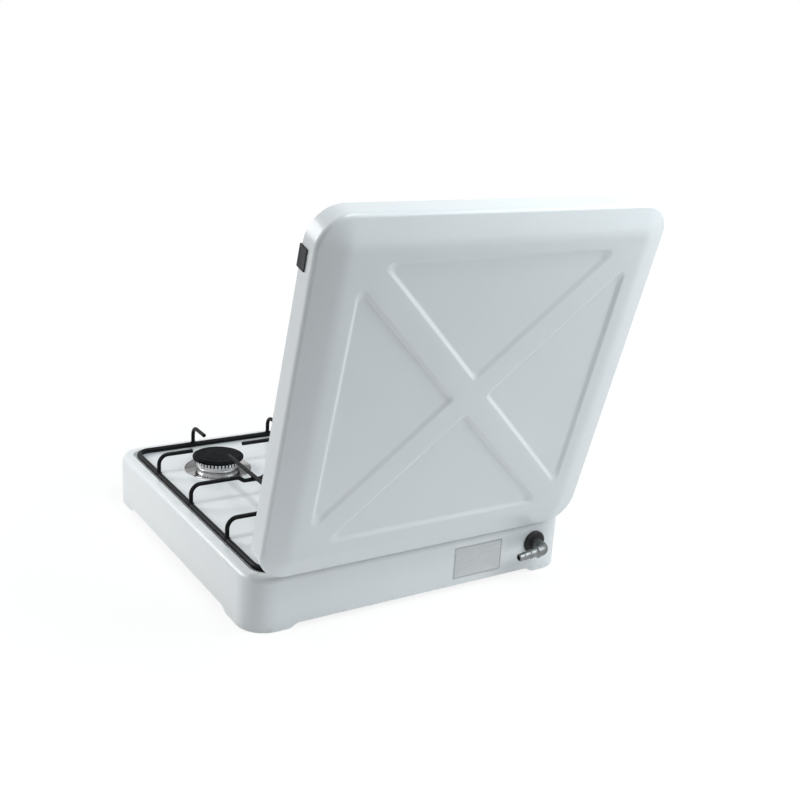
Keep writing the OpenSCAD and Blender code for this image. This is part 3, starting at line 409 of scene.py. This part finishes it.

# %% [markdown]
# ## Metals
# The drip rings are spun from bright steel, so their fine lines run round the burner and throw the
# light back in fans. A shader with a direction of its own could do that, but the imported solids carry
# no directions. So the lines are noise of the radius only, and the fans are a painted reflection: a
# light and dark tone in the base colour that depends on the angle round the burner, lightest in the
# direction towards the camera and its opposite. The heads are machined aluminium castings, the inlet
# is nickel plated, small fittings are zinc plated, and the taps are turned from brass.

# %% Metals
# Painted reflection: the drip rings' base colour runs from dark to light by the direction round the
# burner, lightest towards the camera.
PAINTED_FAN_DARK, PAINTED_FAN_LIGHT = (0.09, 0.09, 0.093), (0.62, 0.62, 0.615)
PAINTED_FAN_WAY, PAINTED_FAN_LUMPS, PAINTED_FAN_FROM, PAINTED_FAN_TO = (0.54, 0.84, 0.0), 2.6, 0.8, 1.45
SPUN_LINES, SPUN_ROUGH, SPUN_DEPTH, SPUN_STRENGTH = 1600.0, (0.12, 0.27), 0.00003, 0.5
METAL_LUMPS, METAL_STRENGTH = 45.0, 0.6


def spun_steel(name, middle):
    """Bright steel with fine lines round the point middle, in millimetres. Its base colour carries a
    painted reflection: light and dark fan-shaped tones that depend only on the direction from the
    middle, as the sheen of fine round lines does: light near PAINTED_FAN_WAY and its opposite, by the
    size of the cosine between them, and a little uneven."""
    finish, tree, shader = start_finish(name, Metallic=1.0)
    place = spot(tree, (-middle[0] * MM, -middle[1] * MM, 0.0))
    way = vectors(tree, "NORMALIZE", "Vector", flatten(tree, place))
    # Painted reflection: the tone is lighter where the direction round the burner lies near the fan's
    # way.
    sheen = maths(tree, "ABSOLUTE", vectors(tree, "DOT_PRODUCT", "Value", way, PAINTED_FAN_WAY))
    uneven = maths(tree, "ADD", sheen, noise(tree, way, PAINTED_FAN_LUMPS, 2.0))
    painted_fans = tint(tree, between(tree, uneven, 0.0, 1.0, PAINTED_FAN_FROM, PAINTED_FAN_TO), PAINTED_FAN_DARK, PAINTED_FAN_LIGHT)
    lines = rings(tree, place, SPUN_LINES)
    join(tree, shader, painted_fans, between(tree, lines, *SPUN_ROUGH))
    relief(tree, shader, lines, SPUN_DEPTH, SPUN_STRENGTH)
    return finish


def plain_metal(name, dark, light, rough, grain, depth, stretch=(1.0, 1.0, 1.0)):
    """A metal with a mottled tone, rough as its low and high roughness, and a relief of grain lumps
    to the metre; stretch makes the grain run along the axes with small numbers."""
    finish, tree, shader = start_finish(name, Metallic=1.0)
    tone = mottled(tree, spot(tree), METAL_LUMPS, dark, light)
    lumps = noise(tree, spot(tree, stretch=stretch), grain)
    join(tree, shader, tone, between(tree, lumps, *rough))
    relief(tree, shader, lumps, depth, METAL_STRENGTH)
    return finish


cast_aluminium = plain_metal("cast_aluminium", (0.50, 0.50, 0.51), (0.66, 0.66, 0.67),
                             rough=(0.32, 0.5), grain=650.0, depth=0.00012)
drawn_aluminium = plain_metal("drawn_aluminium", (0.56, 0.56, 0.57), (0.68, 0.68, 0.69),
                              rough=(0.25, 0.4), grain=420.0, depth=0.00005)
zinc_steel = plain_metal("zinc_steel", (0.50, 0.51, 0.52), (0.64, 0.65, 0.66),
                         rough=(0.28, 0.45), grain=300.0, depth=0.00006)
bright_steel = plain_metal("bright_steel", (0.62, 0.62, 0.62), (0.74, 0.74, 0.74),
                           rough=(0.14, 0.26), grain=500.0, depth=0.00003)
nickel = plain_metal("nickel_nozzle", (0.15, 0.16, 0.16), (0.26, 0.27, 0.268),
                     rough=(0.34, 0.46), grain=380.0, depth=0.00006)
brass = plain_metal("turned_brass", (0.60, 0.45, 0.19), (0.76, 0.58, 0.27),
                    rough=(0.2, 0.36), grain=700.0, depth=0.00005, stretch=(0.2, 1.0, 0.2))
print("made 6 metals")

# %% [markdown]
# ## Plate foil
# The plate on the back wall is brushed foil with a thin dark line printed just inside its edge. It
# stays bare otherwise. A print has no thickness, so the line is a tone and not a piece. It lies where
# the way to the nearest edge is between two values: the larger of the ways past the middle, sideways
# and upwards, less half the plate's size.

# %% Plate foil
PLATE_MIDDLE, PLATE_HALF = (-95.0, 40.0), (40.0, 23.5)
LINE_FROM, LINE_TO, LINE_SOFT, LINE_TONE = -1.9, -1.2, 0.1, (0.16, 0.17, 0.175)
FOIL_DARK, FOIL_LIGHT = (0.46, 0.485, 0.495), (0.52, 0.545, 0.555)
BRUSH_STRETCH, BRUSH_LUMPS = (0.06, 1.0, 1.0), 900.0
FOIL_ROUGH, FOIL_DEPTH, FOIL_STRENGTH = (0.36, 0.44), 0.00002, 0.5


def plate_foil_finish():
    """Foil brushed along X, with the border line worked out from the object's own X and Z."""
    finish, tree, shader = start_finish("plate_foil", Metallic=0.85)
    place = spot(tree)
    past = []
    for axis, middle, half in zip("XZ", PLATE_MIDDLE, PLATE_HALF):
        along = add(tree, "SeparateXYZ", axis, Vector=place)
        way = maths(tree, "ABSOLUTE", maths(tree, "SUBTRACT", along, middle * MM))
        past.append(maths(tree, "SUBTRACT", way, half * MM))
    edge = maths(tree, "MAXIMUM", *past)
    inner = between(tree, edge, 0.0, 1.0, (LINE_FROM - LINE_SOFT) * MM, (LINE_FROM + LINE_SOFT) * MM)
    outer = between(tree, edge, 1.0, 0.0, (LINE_TO - LINE_SOFT) * MM, (LINE_TO + LINE_SOFT) * MM)
    brushed = noise(tree, spot(tree, stretch=BRUSH_STRETCH), BRUSH_LUMPS)
    foil = tint(tree, between(tree, brushed, 0.0, 1.0), FOIL_DARK, FOIL_LIGHT)
    lined = tint(tree, maths(tree, "MULTIPLY", inner, outer), foil, LINE_TONE)
    join(tree, shader, lined, between(tree, brushed, *FOIL_ROUGH))
    relief(tree, shader, brushed, FOIL_DEPTH, FOIL_STRENGTH)
    return finish


plate_foil = plate_foil_finish()
print("made", plate_foil.name)

# %% [markdown]
# ## Rubber, plastic and paint
# The grommet, the lid's buffers and the feet are moulded rubber with a dull, dusty skin. The knobs
# are moulded plastic with the fine even grain that a spark-eroded mould leaves, and their marks are
# white paint. All three take the same kind of finish.

# %% Rubber, plastic and paint
DUST_LUMPS, DUST_FROM, DUST_TO = 60.0, 0.4, 0.75
SKIN_LUMPS, SKIN_STRENGTH = 110.0, 0.7


def moulded(name, dark, light, rough, grain, depth):
    """A dull material: dusty tone, changing gloss and a relief of grain lumps to the metre."""
    finish, tree, shader = start_finish(name, IOR=1.48, Specular_IOR_Level=0.3)
    place = spot(tree)
    dust = between(tree, noise(tree, place, DUST_LUMPS, 5.0), 0.0, 1.0, DUST_FROM, DUST_TO)
    gloss = between(tree, noise(tree, place, SKIN_LUMPS), *rough)
    join(tree, shader, tint(tree, dust, dark, light), gloss)
    relief(tree, shader, noise(tree, place, grain, 2.0), depth, SKIN_STRENGTH)
    return finish


black_rubber = moulded("black_rubber", (0.012, 0.013, 0.015), (0.03, 0.031, 0.033),
                       rough=(0.5, 0.68), grain=800.0, depth=0.0001)
black_plastic = moulded("black_plastic", (0.016, 0.016, 0.017), (0.026, 0.026, 0.027),
                        rough=(0.36, 0.5), grain=1400.0, depth=0.00007)
white_paint = moulded("white_mark_paint", (0.78, 0.78, 0.77), (0.86, 0.86, 0.85),
                      rough=(0.4, 0.55), grain=600.0, depth=0.00004)
print("made rubber, plastic and paint")

# %% [markdown]
# ## Finishes on the solids
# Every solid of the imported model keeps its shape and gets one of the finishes. The start of a
# node's name says what the piece is, so one short table serves all of them.

# %% Dress the solids
BURNER_X, BURNER_Y = 131.0, 125.0
BURNERS = {
    "front_right": (BURNER_X, -BURNER_Y), "front_left": (-BURNER_X, -BURNER_Y),
    "rear_right": (BURNER_X, BURNER_Y), "rear_left": (-BURNER_X, BURNER_Y),
}
FINISH_BY_NAME = {
    "body_shell": body_enamel_painted_light, "lid_panel": lid_enamel_painted_shade, "lid_buffers": black_rubber,
    "rubber_feet": black_rubber, "inlet_grommet": black_rubber, "inlet_elbow": nickel,
    "pan_": wire_enamel, "burner_cap": cap_enamel, "burner_head": cast_aluminium,
    "burner_base": cast_aluminium, "burner_tube": drawn_aluminium, "burner_screws": zinc_steel,
    "gas_injectors": brass, "tap_body": brass, "tap_plug": brass, "inlet_block": nickel,
    "tap_spindle": zinc_steel, "knob_bezels": bright_steel, "hinge_pins": bright_steel,
    "knob_": black_plastic, "gas_rail": zinc_steel, "rail_brackets": zinc_steel,
    "inlet_pipe": zinc_steel, "hinge_": zinc_steel, "corner_gussets": zinc_steel,
}


def finish_for(node):
    """The finish whose table entry is the longest start of the node's name, or a drip ring's own."""
    if node.startswith("drip_ring_"):
        return spun_steel("spun_" + node, BURNERS[node.removeprefix("drip_ring_")])
    return FINISH_BY_NAME[max((key for key in FINISH_BY_NAME if node.startswith(key)), key=len)]


for node, solid in node_of.items():
    solid.data.materials.clear()
    solid.data.materials.append(finish_for(node))
print("dressed", len(node_of), "solids")

# %% [markdown]
# ## Surfaces from grids
# A new piece could be shaped from a box with modifiers, but a formula says exactly where its surface
# is. So it is one or more grids of points. Neighbouring grids share their border points, so welding
# equal points closes the piece, and a row that shrinks to one point becomes a fan of triangles.

# %% Helpers for surfaces
SAME_DIGITS = 4
CREASE = np.radians(40.0)


def grid_quads(rows, columns, around=False):
    """Corner numbers of a grid's quads, row by row; around joins the last column to the first."""
    last = columns if around else columns - 1
    r, c = np.meshgrid(np.arange(rows - 1), np.arange(last), indexing="ij")
    n = (c + 1) % columns
    corners = [r * columns + c, r * columns + n, (r + 1) * columns + n, (r + 1) * columns + c]
    return np.stack(corners, axis=-1).reshape(-1, 4)


def weld(grids):
    """Joins (points, quads) grids: equal points become one, and a quad that has two equal corners
    next to each other becomes a triangle."""
    points = np.concatenate([p.reshape(-1, 3) for p, _ in grids])
    starts = np.cumsum([0] + [p.size // 3 for p, _ in grids[:-1]])
    quads = np.concatenate([q + s for (_, q), s in zip(grids, starts)])
    kept, number = np.unique(np.round(points, SAME_DIGITS), axis=0, return_inverse=True)
    quads = number.reshape(-1)[quads]
    same = quads == np.roll(quads, -1, axis=1)
    folded = same.sum(axis=1) == 1
    first = np.argmax(same[folded], axis=1)[:, None]
    triangles = np.take_along_axis(quads[folded], (first + np.array([1, 2, 3])) % 4, axis=1)
    return kept, quads[~same.any(axis=1)].tolist() + triangles.tolist()


def put_piece(name, points, faces, body, slot, finish):
    """Makes a mesh from points in millimetres, smooth but for edges sharper than CREASE, and lets it
    ride on a body."""
    mesh = bpy.data.meshes.new(name)
    mesh.from_pydata((points * MM).tolist(), [], faces)
    mesh.shade_smooth()
    mesh.set_sharp_from_angle(angle=CREASE)
    mesh.materials.append(finish)
    piece = bpy.data.objects.new(name, mesh)
    scene.collection.objects.link(piece)
    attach(piece, body)
    sides = np.zeros(len(mesh.loops), int)
    mesh.loops.foreach_get("edge_index", sides)
    open_edges = int((np.bincount(sides) != 2).sum())
    print(name, "points:", len(points), "faces:", len(faces), "open edges:", open_edges)
    return piece


print("surface helpers ready")

# %% [markdown]
# ## The pressed lid
# The lid is one sheet: a skirt, a sloping band, a flat field, and four sunk triangles that leave a
# raised cross, which keeps the sheet from drumming. A pressed edge is never sharp, and the packed
# solid has plain slopes, so the lid is made anew from the same sizes, closed and with its middle at
# the origin. It starts with the section of its edge: the middle of the sheet from the field down to
# the foot of the skirt, with round bends, and half a sheet to each side of it.

# %% The lid's section
LID_CORNER_R, SHEET = 42.0, 1.0
SKIRT_H, EDGE_R = 28.0, 6.0
BAND_W, BAND_RISE, SOFT_R = 33.6, 9.8, 52.0
FIELD_Z = SKIRT_H + BAND_RISE
ARC_STEPS = 10


def bent_line(corners, radii):
    """A line through corners with each inner corner rounded: the arc's middle lies square to the
    first piece at the distance of the radius, and its points are spread evenly over the turn."""
    pieces = [corners[:1]]
    for before, at, after, r in zip(corners, corners[1:], corners[2:], radii):
        a = (at - before) / np.linalg.norm(at - before)
        b = (after - at) / np.linalg.norm(after - at)
        turn = np.arctan2(a[0] * b[1] - a[1] * b[0], a @ b)
        side = np.sign(turn) * np.array([-a[1], a[0]])
        middle = at - a * r * np.tan(abs(turn) / 2) + r * side
        angle = np.arctan2(-side[1], -side[0]) + turn * np.linspace(0, 1, ARC_STEPS + 1)
        pieces.append(middle + r * np.column_stack([np.cos(angle), np.sin(angle)]))
    return np.concatenate(pieces + [corners[-1:]])


def left_of(line):
    """Unit normals to the left of a line, square to the mean direction at each point."""
    way = np.diff(line, axis=0)
    way /= np.linalg.norm(way, axis=1, keepdims=True)
    way = np.vstack([way[:1], way[:-1] + way[1:], way[-1:]])
    way /= np.linalg.norm(way, axis=1, keepdims=True)
    return np.column_stack([-way[:, 1], way[:, 0]])


outer_t = LID_CORNER_R - SHEET / 2
section_corners = np.array([[0.0, FIELD_Z], [outer_t - BAND_W, FIELD_Z],
                            [outer_t, SKIRT_H], [outer_t, 0.0]])
sheet_line = bent_line(section_corners, [SOFT_R, EDGE_R])
half_sheet = SHEET / 2 * left_of(sheet_line)
section = np.concatenate([sheet_line + half_sheet, (sheet_line - half_sheet)[::-1]])
section_t, section_z = section.T
print("lid section:", len(section), "points")

# %% [markdown]
# ### The lid's border
# The section is carried along four straight sides and round four corners. The rear skirt is shorter,
# to clear the body when the lid opens, and has two cut-outs for the hinges. Cutting them out of the
# mesh afterwards would leave ragged faces. So the columns of the grid come in close pairs at each
# cut, and the foot of the skirt is lifted between them.

# %% Columns of the lid's border
LID_HALF = 244.0
CORE = LID_HALF - LID_CORNER_R
PANEL_SPAN = 153.0
NOTCH_X, NOTCH_HALF, NOTCH_H = 150.0, 5.0, 16.0
REAR_RELIEF, RELIEF_CORNER = 5.0, 14.0
CORNER_END, CORNER_COLUMNS, SIDE_COLUMNS = 166.0, 4, 52
HALF_CORNER_DEGREES = [0, 7, 13, 28, 36, 45]
CUT_EDGE, CUT_EDGE_DEGREES = 0.1, 0.15

notch_sides = NOTCH_X + np.array([-1, 1]) * NOTCH_HALF
cut_columns = np.sort(np.concatenate([notch_sides - CUT_EDGE, notch_sides + CUT_EDGE]))
inner_cuts = cut_columns[cut_columns < PANEL_SPAN]
outer_cuts = cut_columns[cut_columns > PANEL_SPAN][::-1]
corner_columns = np.linspace(CORE, CORNER_END, CORNER_COLUMNS)
near_corner = np.concatenate([corner_columns, outer_cuts, [PANEL_SPAN]])
straight = np.linspace(-PANEL_SPAN, PANEL_SPAN, SIDE_COLUMNS)
columns = np.unique(np.concatenate([straight, inner_cuts, -inner_cuts]))
border = np.concatenate([-near_corner[:-1], columns, near_corner[::-1][1:]])
cut_angle = np.degrees(np.arcsin(RELIEF_CORNER / LID_CORNER_R))
cut_angles = [cut_angle - CUT_EDGE_DEGREES, cut_angle + CUT_EDGE_DEGREES]
half_angles = np.sort(np.concatenate([HALF_CORNER_DEGREES, cut_angles]))
corner_angles = np.radians(np.concatenate([half_angles, 90 - half_angles[-2::-1]]))
print("columns of a side:", len(border), "and of a corner:", len(corner_angles))


# %% The lid's border
lift_share = np.clip(1 - section_z / (SKIRT_H - EDGE_R), 0, 1)


def quarter_turns(x, y, z, k):
    """Points of a grid, turned k quarter turns about Z."""
    c, s = [(1, 0), (0, 1), (-1, 0), (0, -1)][k]
    return np.stack(np.broadcast_arrays(c * x - s * y, s * x + c * y, z), axis=-1)


def side_strip(k):
    """The section carried along a straight side; the rear one is shortened and has two cut-outs."""
    in_notch = np.abs(np.abs(border) - NOTCH_X) < NOTCH_HALF
    lift = np.where(in_notch, NOTCH_H, REAR_RELIEF) if k == 0 else 0 * border
    x = border[:, None] + 0 * section_t
    z = section_z + lift[:, None] * lift_share
    return quarter_turns(x, CORE + section_t, z, k), grid_quads(len(border), len(section))


def corner_fan(k):
    """The section carried round a corner; next to the rear side it is still shortened."""
    a = corner_angles[:, None]
    near = {0: a, 1: np.pi / 2 - a}.get(k)
    cut = 0 * a if near is None else REAR_RELIEF * (np.degrees(near) < cut_angle)
    x, y = CORE + section_t * np.sin(a), CORE + section_t * np.cos(a)
    quads = grid_quads(len(corner_angles), len(section))
    return quarter_turns(x, y, section_z + cut * lift_share, k), quads


border_grids = [side_strip(k) for k in range(4)] + [corner_fan(k) for k in range(4)]
print("lid border:", sum(len(q) for _, q in border_grids), "quads")

# %% [markdown]
# ### The lid's sunk triangles
# Each sunk triangle is a set of rings that shrink towards the middle of its inscribed circle. The
# first rings cross the soft step, so the mesh lines follow the edge, and the step stays smooth with
# few faces. A plain square grid would need far more of them for edges that run aslant. The same rings
# a sheet lower make the underside.

# %% The outline of a sunk triangle
CROSS_HALF = 15.0
PANEL_X, PANEL_Y, PANEL_R = 191.0, 192.5, 7.0
LEG_POINTS = 40
HALF_ARC = len(near_corner) - 1


def triangle_of(wide, far):
    """Tip, right and left corner of the triangle between two arms of the cross that point to +Y."""
    arm = np.array([wide, far]) / np.hypot(wide, far)
    half = (arm[0] * far - CROSS_HALF) / arm[1]
    return np.array([[0.0, CROSS_HALF / arm[0]], [half, far], [-half, far]])


def inscribed(corners):
    """Middle and radius of a triangle's inscribed circle: corners weighted by the opposite sides,
    and twice the area over the length round it."""
    sides = np.linalg.norm(np.roll(corners, -1, axis=0) - np.roll(corners, 1, axis=0), axis=1)
    u, v = corners[1] - corners[0], corners[2] - corners[0]
    return sides @ corners / sides.sum(), abs(u[0] * v[1] - u[1] * v[0]) / sides.sum()


def round_triangle(corners, base):
    """The triangle's outline with round corners: right leg, corner, base, corner, left leg, tip. A
    corner's arc has its middle on the line to the inscribed middle and turns from edge to edge."""
    middle, inradius = inscribed(corners)
    arc_middles = middle + (corners - middle) * (1 - PANEL_R / inradius)
    edge = np.roll(corners, -1, axis=0) - corners
    out = np.degrees(np.arctan2(-edge[:, 0], edge[:, 1]))
    share = np.linspace(0, 1, 2 * HALF_ARC + 1)[:, None]

    def arc(k):
        start, end = out[k - 1], out[k]
        angle = np.radians(start + ((end - start) % 360) * share)
        return arc_middles[k] + PANEL_R * np.hstack([np.cos(angle), np.sin(angle)])

    tip, right, left = arc(0), arc(1), arc(2)
    leg = np.linspace(0, 1, LEG_POINTS + 1)[1:-1, None]
    along = ((PANEL_SPAN - base[::-1]) / (2 * PANEL_SPAN))[1:-1, None]
    return np.vstack([tip[HALF_ARC:], tip[-1] + leg * (right[0] - tip[-1]), right,
                      right[-1] + along * (left[0] - right[-1]), left,
                      left[-1] + leg * (tip[0] - left[-1]), tip[:HALF_ARC]])


print("points round a triangle:", len(round_triangle(triangle_of(PANEL_X, PANEL_Y), columns)))


# %% The lid's sunk triangles
PANEL_DROP, PANEL_RUN = 3.5, 7.0
LEG_FROM, LEG_TO = 15.6, 169.3
STEP_RINGS, FLAT_INSETS = 14, [9.0, 15.0, 28.0, 42.0]
STEP_INSETS = np.concatenate([np.linspace(0, PANEL_RUN, STEP_RINGS), FLAT_INSETS])
BORDER_STEPS = np.array([0.0, 0.5])


def sector_outline(base):
    """The quarter of the core that holds a triangle, with points that match the triangle's: from
    the lid's middle along one diagonal, along the side, and back along the other diagonal."""
    diagonal = np.concatenate([np.linspace(0, LEG_FROM, HALF_ARC + 1)[:-1],
                               np.linspace(LEG_FROM, LEG_TO, LEG_POINTS + 1)[:-1],
                               np.linspace(LEG_TO, CORE, HALF_ARC + 1)])
    side = np.concatenate([near_corner[1:-1], base[::-1], -near_corner[::-1][1:-1]])
    up = np.column_stack([diagonal, diagonal])
    return np.vstack([up, np.column_stack([side, 0 * side + CORE]), (up * [-1, 1])[:0:-1]])


def sunk_sector(k, offset):
    """Rings from the sector's outline to the triangle's, and on towards its middle. The height
    falls by a smooth step over the first rings inside. Offset is the way up from the middle of the
    sheet: above it is the outer face, and below it the inner face, which is turned over."""
    wide, far = (PANEL_X, PANEL_Y) if k % 2 == 0 else (PANEL_Y, PANEL_X)
    corners = triangle_of(wide, far)
    middle, inradius = inscribed(corners)
    outline, sector = round_triangle(corners, columns), sector_outline(columns)
    outside = sector + BORDER_STEPS[:, None, None] * (outline - sector)
    insets = np.append(STEP_INSETS, inradius)
    inside = middle + (1 - insets / inradius)[:, None, None] * (outline - middle)
    share = np.clip(insets / PANEL_RUN, 0, 1)
    depth = np.concatenate([0 * BORDER_STEPS, PANEL_DROP * share**2 * (3 - 2 * share)])
    flat = np.concatenate([outside, inside])
    z = FIELD_Z + offset - depth[:, None]
    quads = grid_quads(len(flat), flat.shape[1], around=True)
    return quarter_turns(flat[..., 0], flat[..., 1], z, k), quads if offset > 0 else quads[:, ::-1]


core_grids = [sunk_sector(k, offset) for k in range(4) for offset in (SHEET / 2, -SHEET / 2)]
print("lid core:", sum(len(q) for _, q in core_grids), "quads")

# %% [markdown]
# ### The lid in its place
# The hob is drawn with its lid open. The piece could be turned as an object, but here every piece
# stays unturned at the origin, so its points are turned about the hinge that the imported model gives.

# %% The lid in its place
LID_GAP = 2.5
hinge = next(j for j in frame["joints"] if j["name"] == "lid_hinge")
pivot = np.array(hinge["pos_m"]) / MM
open_angle = np.radians(-hinge["range_deg"][0])
lid_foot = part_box("body_shell")[1].z / MM + LID_GAP
print("lid opens", round(np.degrees(open_angle), 1), "degrees about", pivot.round(1).tolist())


def open_lid(points):
    """Turns points of the closed lid about the pivot by the open angle, backwards."""
    y, z = points[:, 1] - pivot[1], points[:, 2] + lid_foot - pivot[2]
    c, s = np.cos(open_angle), np.sin(open_angle)
    return np.column_stack([points[:, 0], pivot[1] + c * y + s * z, pivot[2] - s * y + c * z])


lid_points, lid_faces = weld(border_grids + core_grids)
pressed_lid = put_piece("pressed_lid", open_lid(lid_points), lid_faces,
                        "lid", "white_enamel", lid_enamel_painted_shade)
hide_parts("lid_panel")

# %% [markdown]
# ## Weld beads on the pan support
# The rods of the pan support are welded, and each weld leaves a small bead. Where a rod stands on
# the frame, the bead is a ring that lies on the round frame, so it is a saddle. Where rods cross, it
# is a smaller flat ring. Beads could be sculpted one by one, but a ring is just a circle carried
# round a closed path, so one formula makes both kinds. Its thickness changes a little on the way, as
# a hand weld's does.

# %% Weld beads
FRAME_AT, FRAME_Z, FRAME_R = 225.4, 77.0, 4.0
FOOT_RING_R, FOOT_BEAD_R = 3.4, 1.15
CROSS_RING_R, CROSS_BEAD_R, CROSS_SINK, ROD_D = 2.3, 0.95, 0.1, 6.0
CROSS_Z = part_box("pan_side_fingers")[1].z / MM - ROD_D - CROSS_SINK
RING_POINTS, BEAD_POINTS = 29, 13
SLOW_WAVE, SLOW_WAVES, FAST_WAVE, FAST_WAVES = 0.09, 3, 0.06, 7


def weld_ring(middle, ring_r, bead_r, across=None):
    """A circle of bead_r carried round a ring. Its thickness has two waves that start at another
    place on each weld. With across, the axis square to the frame rod, the ring lies on that rod: its
    height is the root of the rod's radius squared less the way across squared."""
    turn = np.linspace(0, 2 * np.pi, RING_POINTS)[:, None]
    around = np.linspace(0, 2 * np.pi, BEAD_POINTS)
    bead = bead_r * (1 + SLOW_WAVE * np.sin(SLOW_WAVES * turn + middle[0])
                     + FAST_WAVE * np.sin(FAST_WAVES * turn + middle[1]))
    reach = ring_r + bead * np.cos(around)
    way = ring_r * (np.cos(turn) if across == 0 else np.sin(turn))
    saddle = 0 * turn if across is None else np.sqrt(FRAME_R**2 - way**2)
    points = np.stack([middle[0] + reach * np.cos(turn), middle[1] + reach * np.sin(turn),
                       middle[2] + saddle + bead * np.sin(around)], axis=-1)
    return points, grid_quads(*points.shape[:2])


side_feet = [(x, y, FRAME_Z) for x in (-FRAME_AT, FRAME_AT) for y in (-BURNER_Y, 0.0, BURNER_Y)]
end_feet = [(x, y, FRAME_Z) for y in (-FRAME_AT, FRAME_AT) for x in (-BURNER_X, 0.0, BURNER_X)]
crossings = [(-BURNER_X, 0.0, CROSS_Z), (BURNER_X, 0.0, CROSS_Z), (0.0, 0.0, CROSS_Z),
             (0.0, -BURNER_Y, CROSS_Z), (0.0, BURNER_Y, CROSS_Z)]
beads = [weld_ring(foot, FOOT_RING_R, FOOT_BEAD_R, 0) for foot in side_feet]
beads += [weld_ring(foot, FOOT_RING_R, FOOT_BEAD_R, 1) for foot in end_feet]
beads += [weld_ring(crossing, CROSS_RING_R, CROSS_BEAD_R) for crossing in crossings]
put_piece("pan_welds", *weld(beads), "pan_support", "black_enamel", wire_enamel)

# %% [markdown]
# ## The bare plate and the knobs' marks
# The plate on the back wall is a thin foil plate with a rolled border. It stays bare. Each knob has
# a painted mark on its grip that shows where it points. Both are the same shape: loops of a rounded
# rectangle that shrink as they rise, with a fan at each end.

# %% Rounded plates
CORNER_POINTS = 7
LEAST_CORNER_R = 0.05


def rounded_plate(middle, half, corner_r, steps, face):
    """A rounded rectangle in the XZ plane that grows along Y in the direction face. Each step is an
    inset and a height; a corner's points lie on an arc about the corner's own middle."""
    quarter = np.arange(4)[:, None] * np.pi / 2
    angle = (quarter + np.linspace(0, np.pi / 2, CORNER_POINTS)).reshape(-1)
    side = np.repeat(np.array([[1, 1], [-1, 1], [-1, -1], [1, -1]]), CORNER_POINTS, axis=0)
    inset, height = np.array(steps).T
    r = np.maximum(corner_r - inset, LEAST_CORNER_R)[:, None]
    u = side[:, 0] * (half[0] - inset[:, None] - r) + r * np.cos(angle)
    v = side[:, 1] * (half[1] - inset[:, None] - r) + r * np.sin(angle)
    h = height[:, None] + 0 * u
    u, v = (np.vstack([0 * a[:1], a, 0 * a[:1]]) for a in (u, v))
    h = np.vstack([h[:1], h, h[-1:]])
    points = np.stack([middle[0] - face * u, middle[1] + face * h, middle[2] + v], axis=-1)
    return weld([(points, grid_quads(*points.shape[:2], around=True))])


print("corner points of a plate:", 4 * CORNER_POINTS)

# %% Plate and marks
BACK_WALL_Y = 250.0
PLATE_CORNER_R = 1.6
PLATE_STEPS = [(0.0, -0.1), (0.0, 0.25), (0.12, 0.4), (0.7, 0.4), (0.95, 0.25)]
plate = rounded_plate((PLATE_MIDDLE[0], BACK_WALL_Y, PLATE_MIDDLE[1]), PLATE_HALF,
                      PLATE_CORNER_R, PLATE_STEPS, 1)
put_piece("bare_plate", *plate, "base", "bright_steel", plate_foil)

TAP_X = (-165.0, -55.0, 55.0, 165.0)
GRIP_FRONT_Y, MARK_Z = -281.0, 48.75
MARK_HALF, MARK_CORNER_R = (0.8, 5.75), 0.8
MARK_STEPS = [(0.0, -0.1), (0.0, 0.06), (0.25, 0.16)]
for number, x in enumerate(TAP_X, 1):
    mark = rounded_plate((x, GRIP_FRONT_Y, MARK_Z), MARK_HALF, MARK_CORNER_R, MARK_STEPS, -1)
    put_piece(f"knob_mark_{number}", *mark, f"knob_{number}", "white_enamel", white_paint)
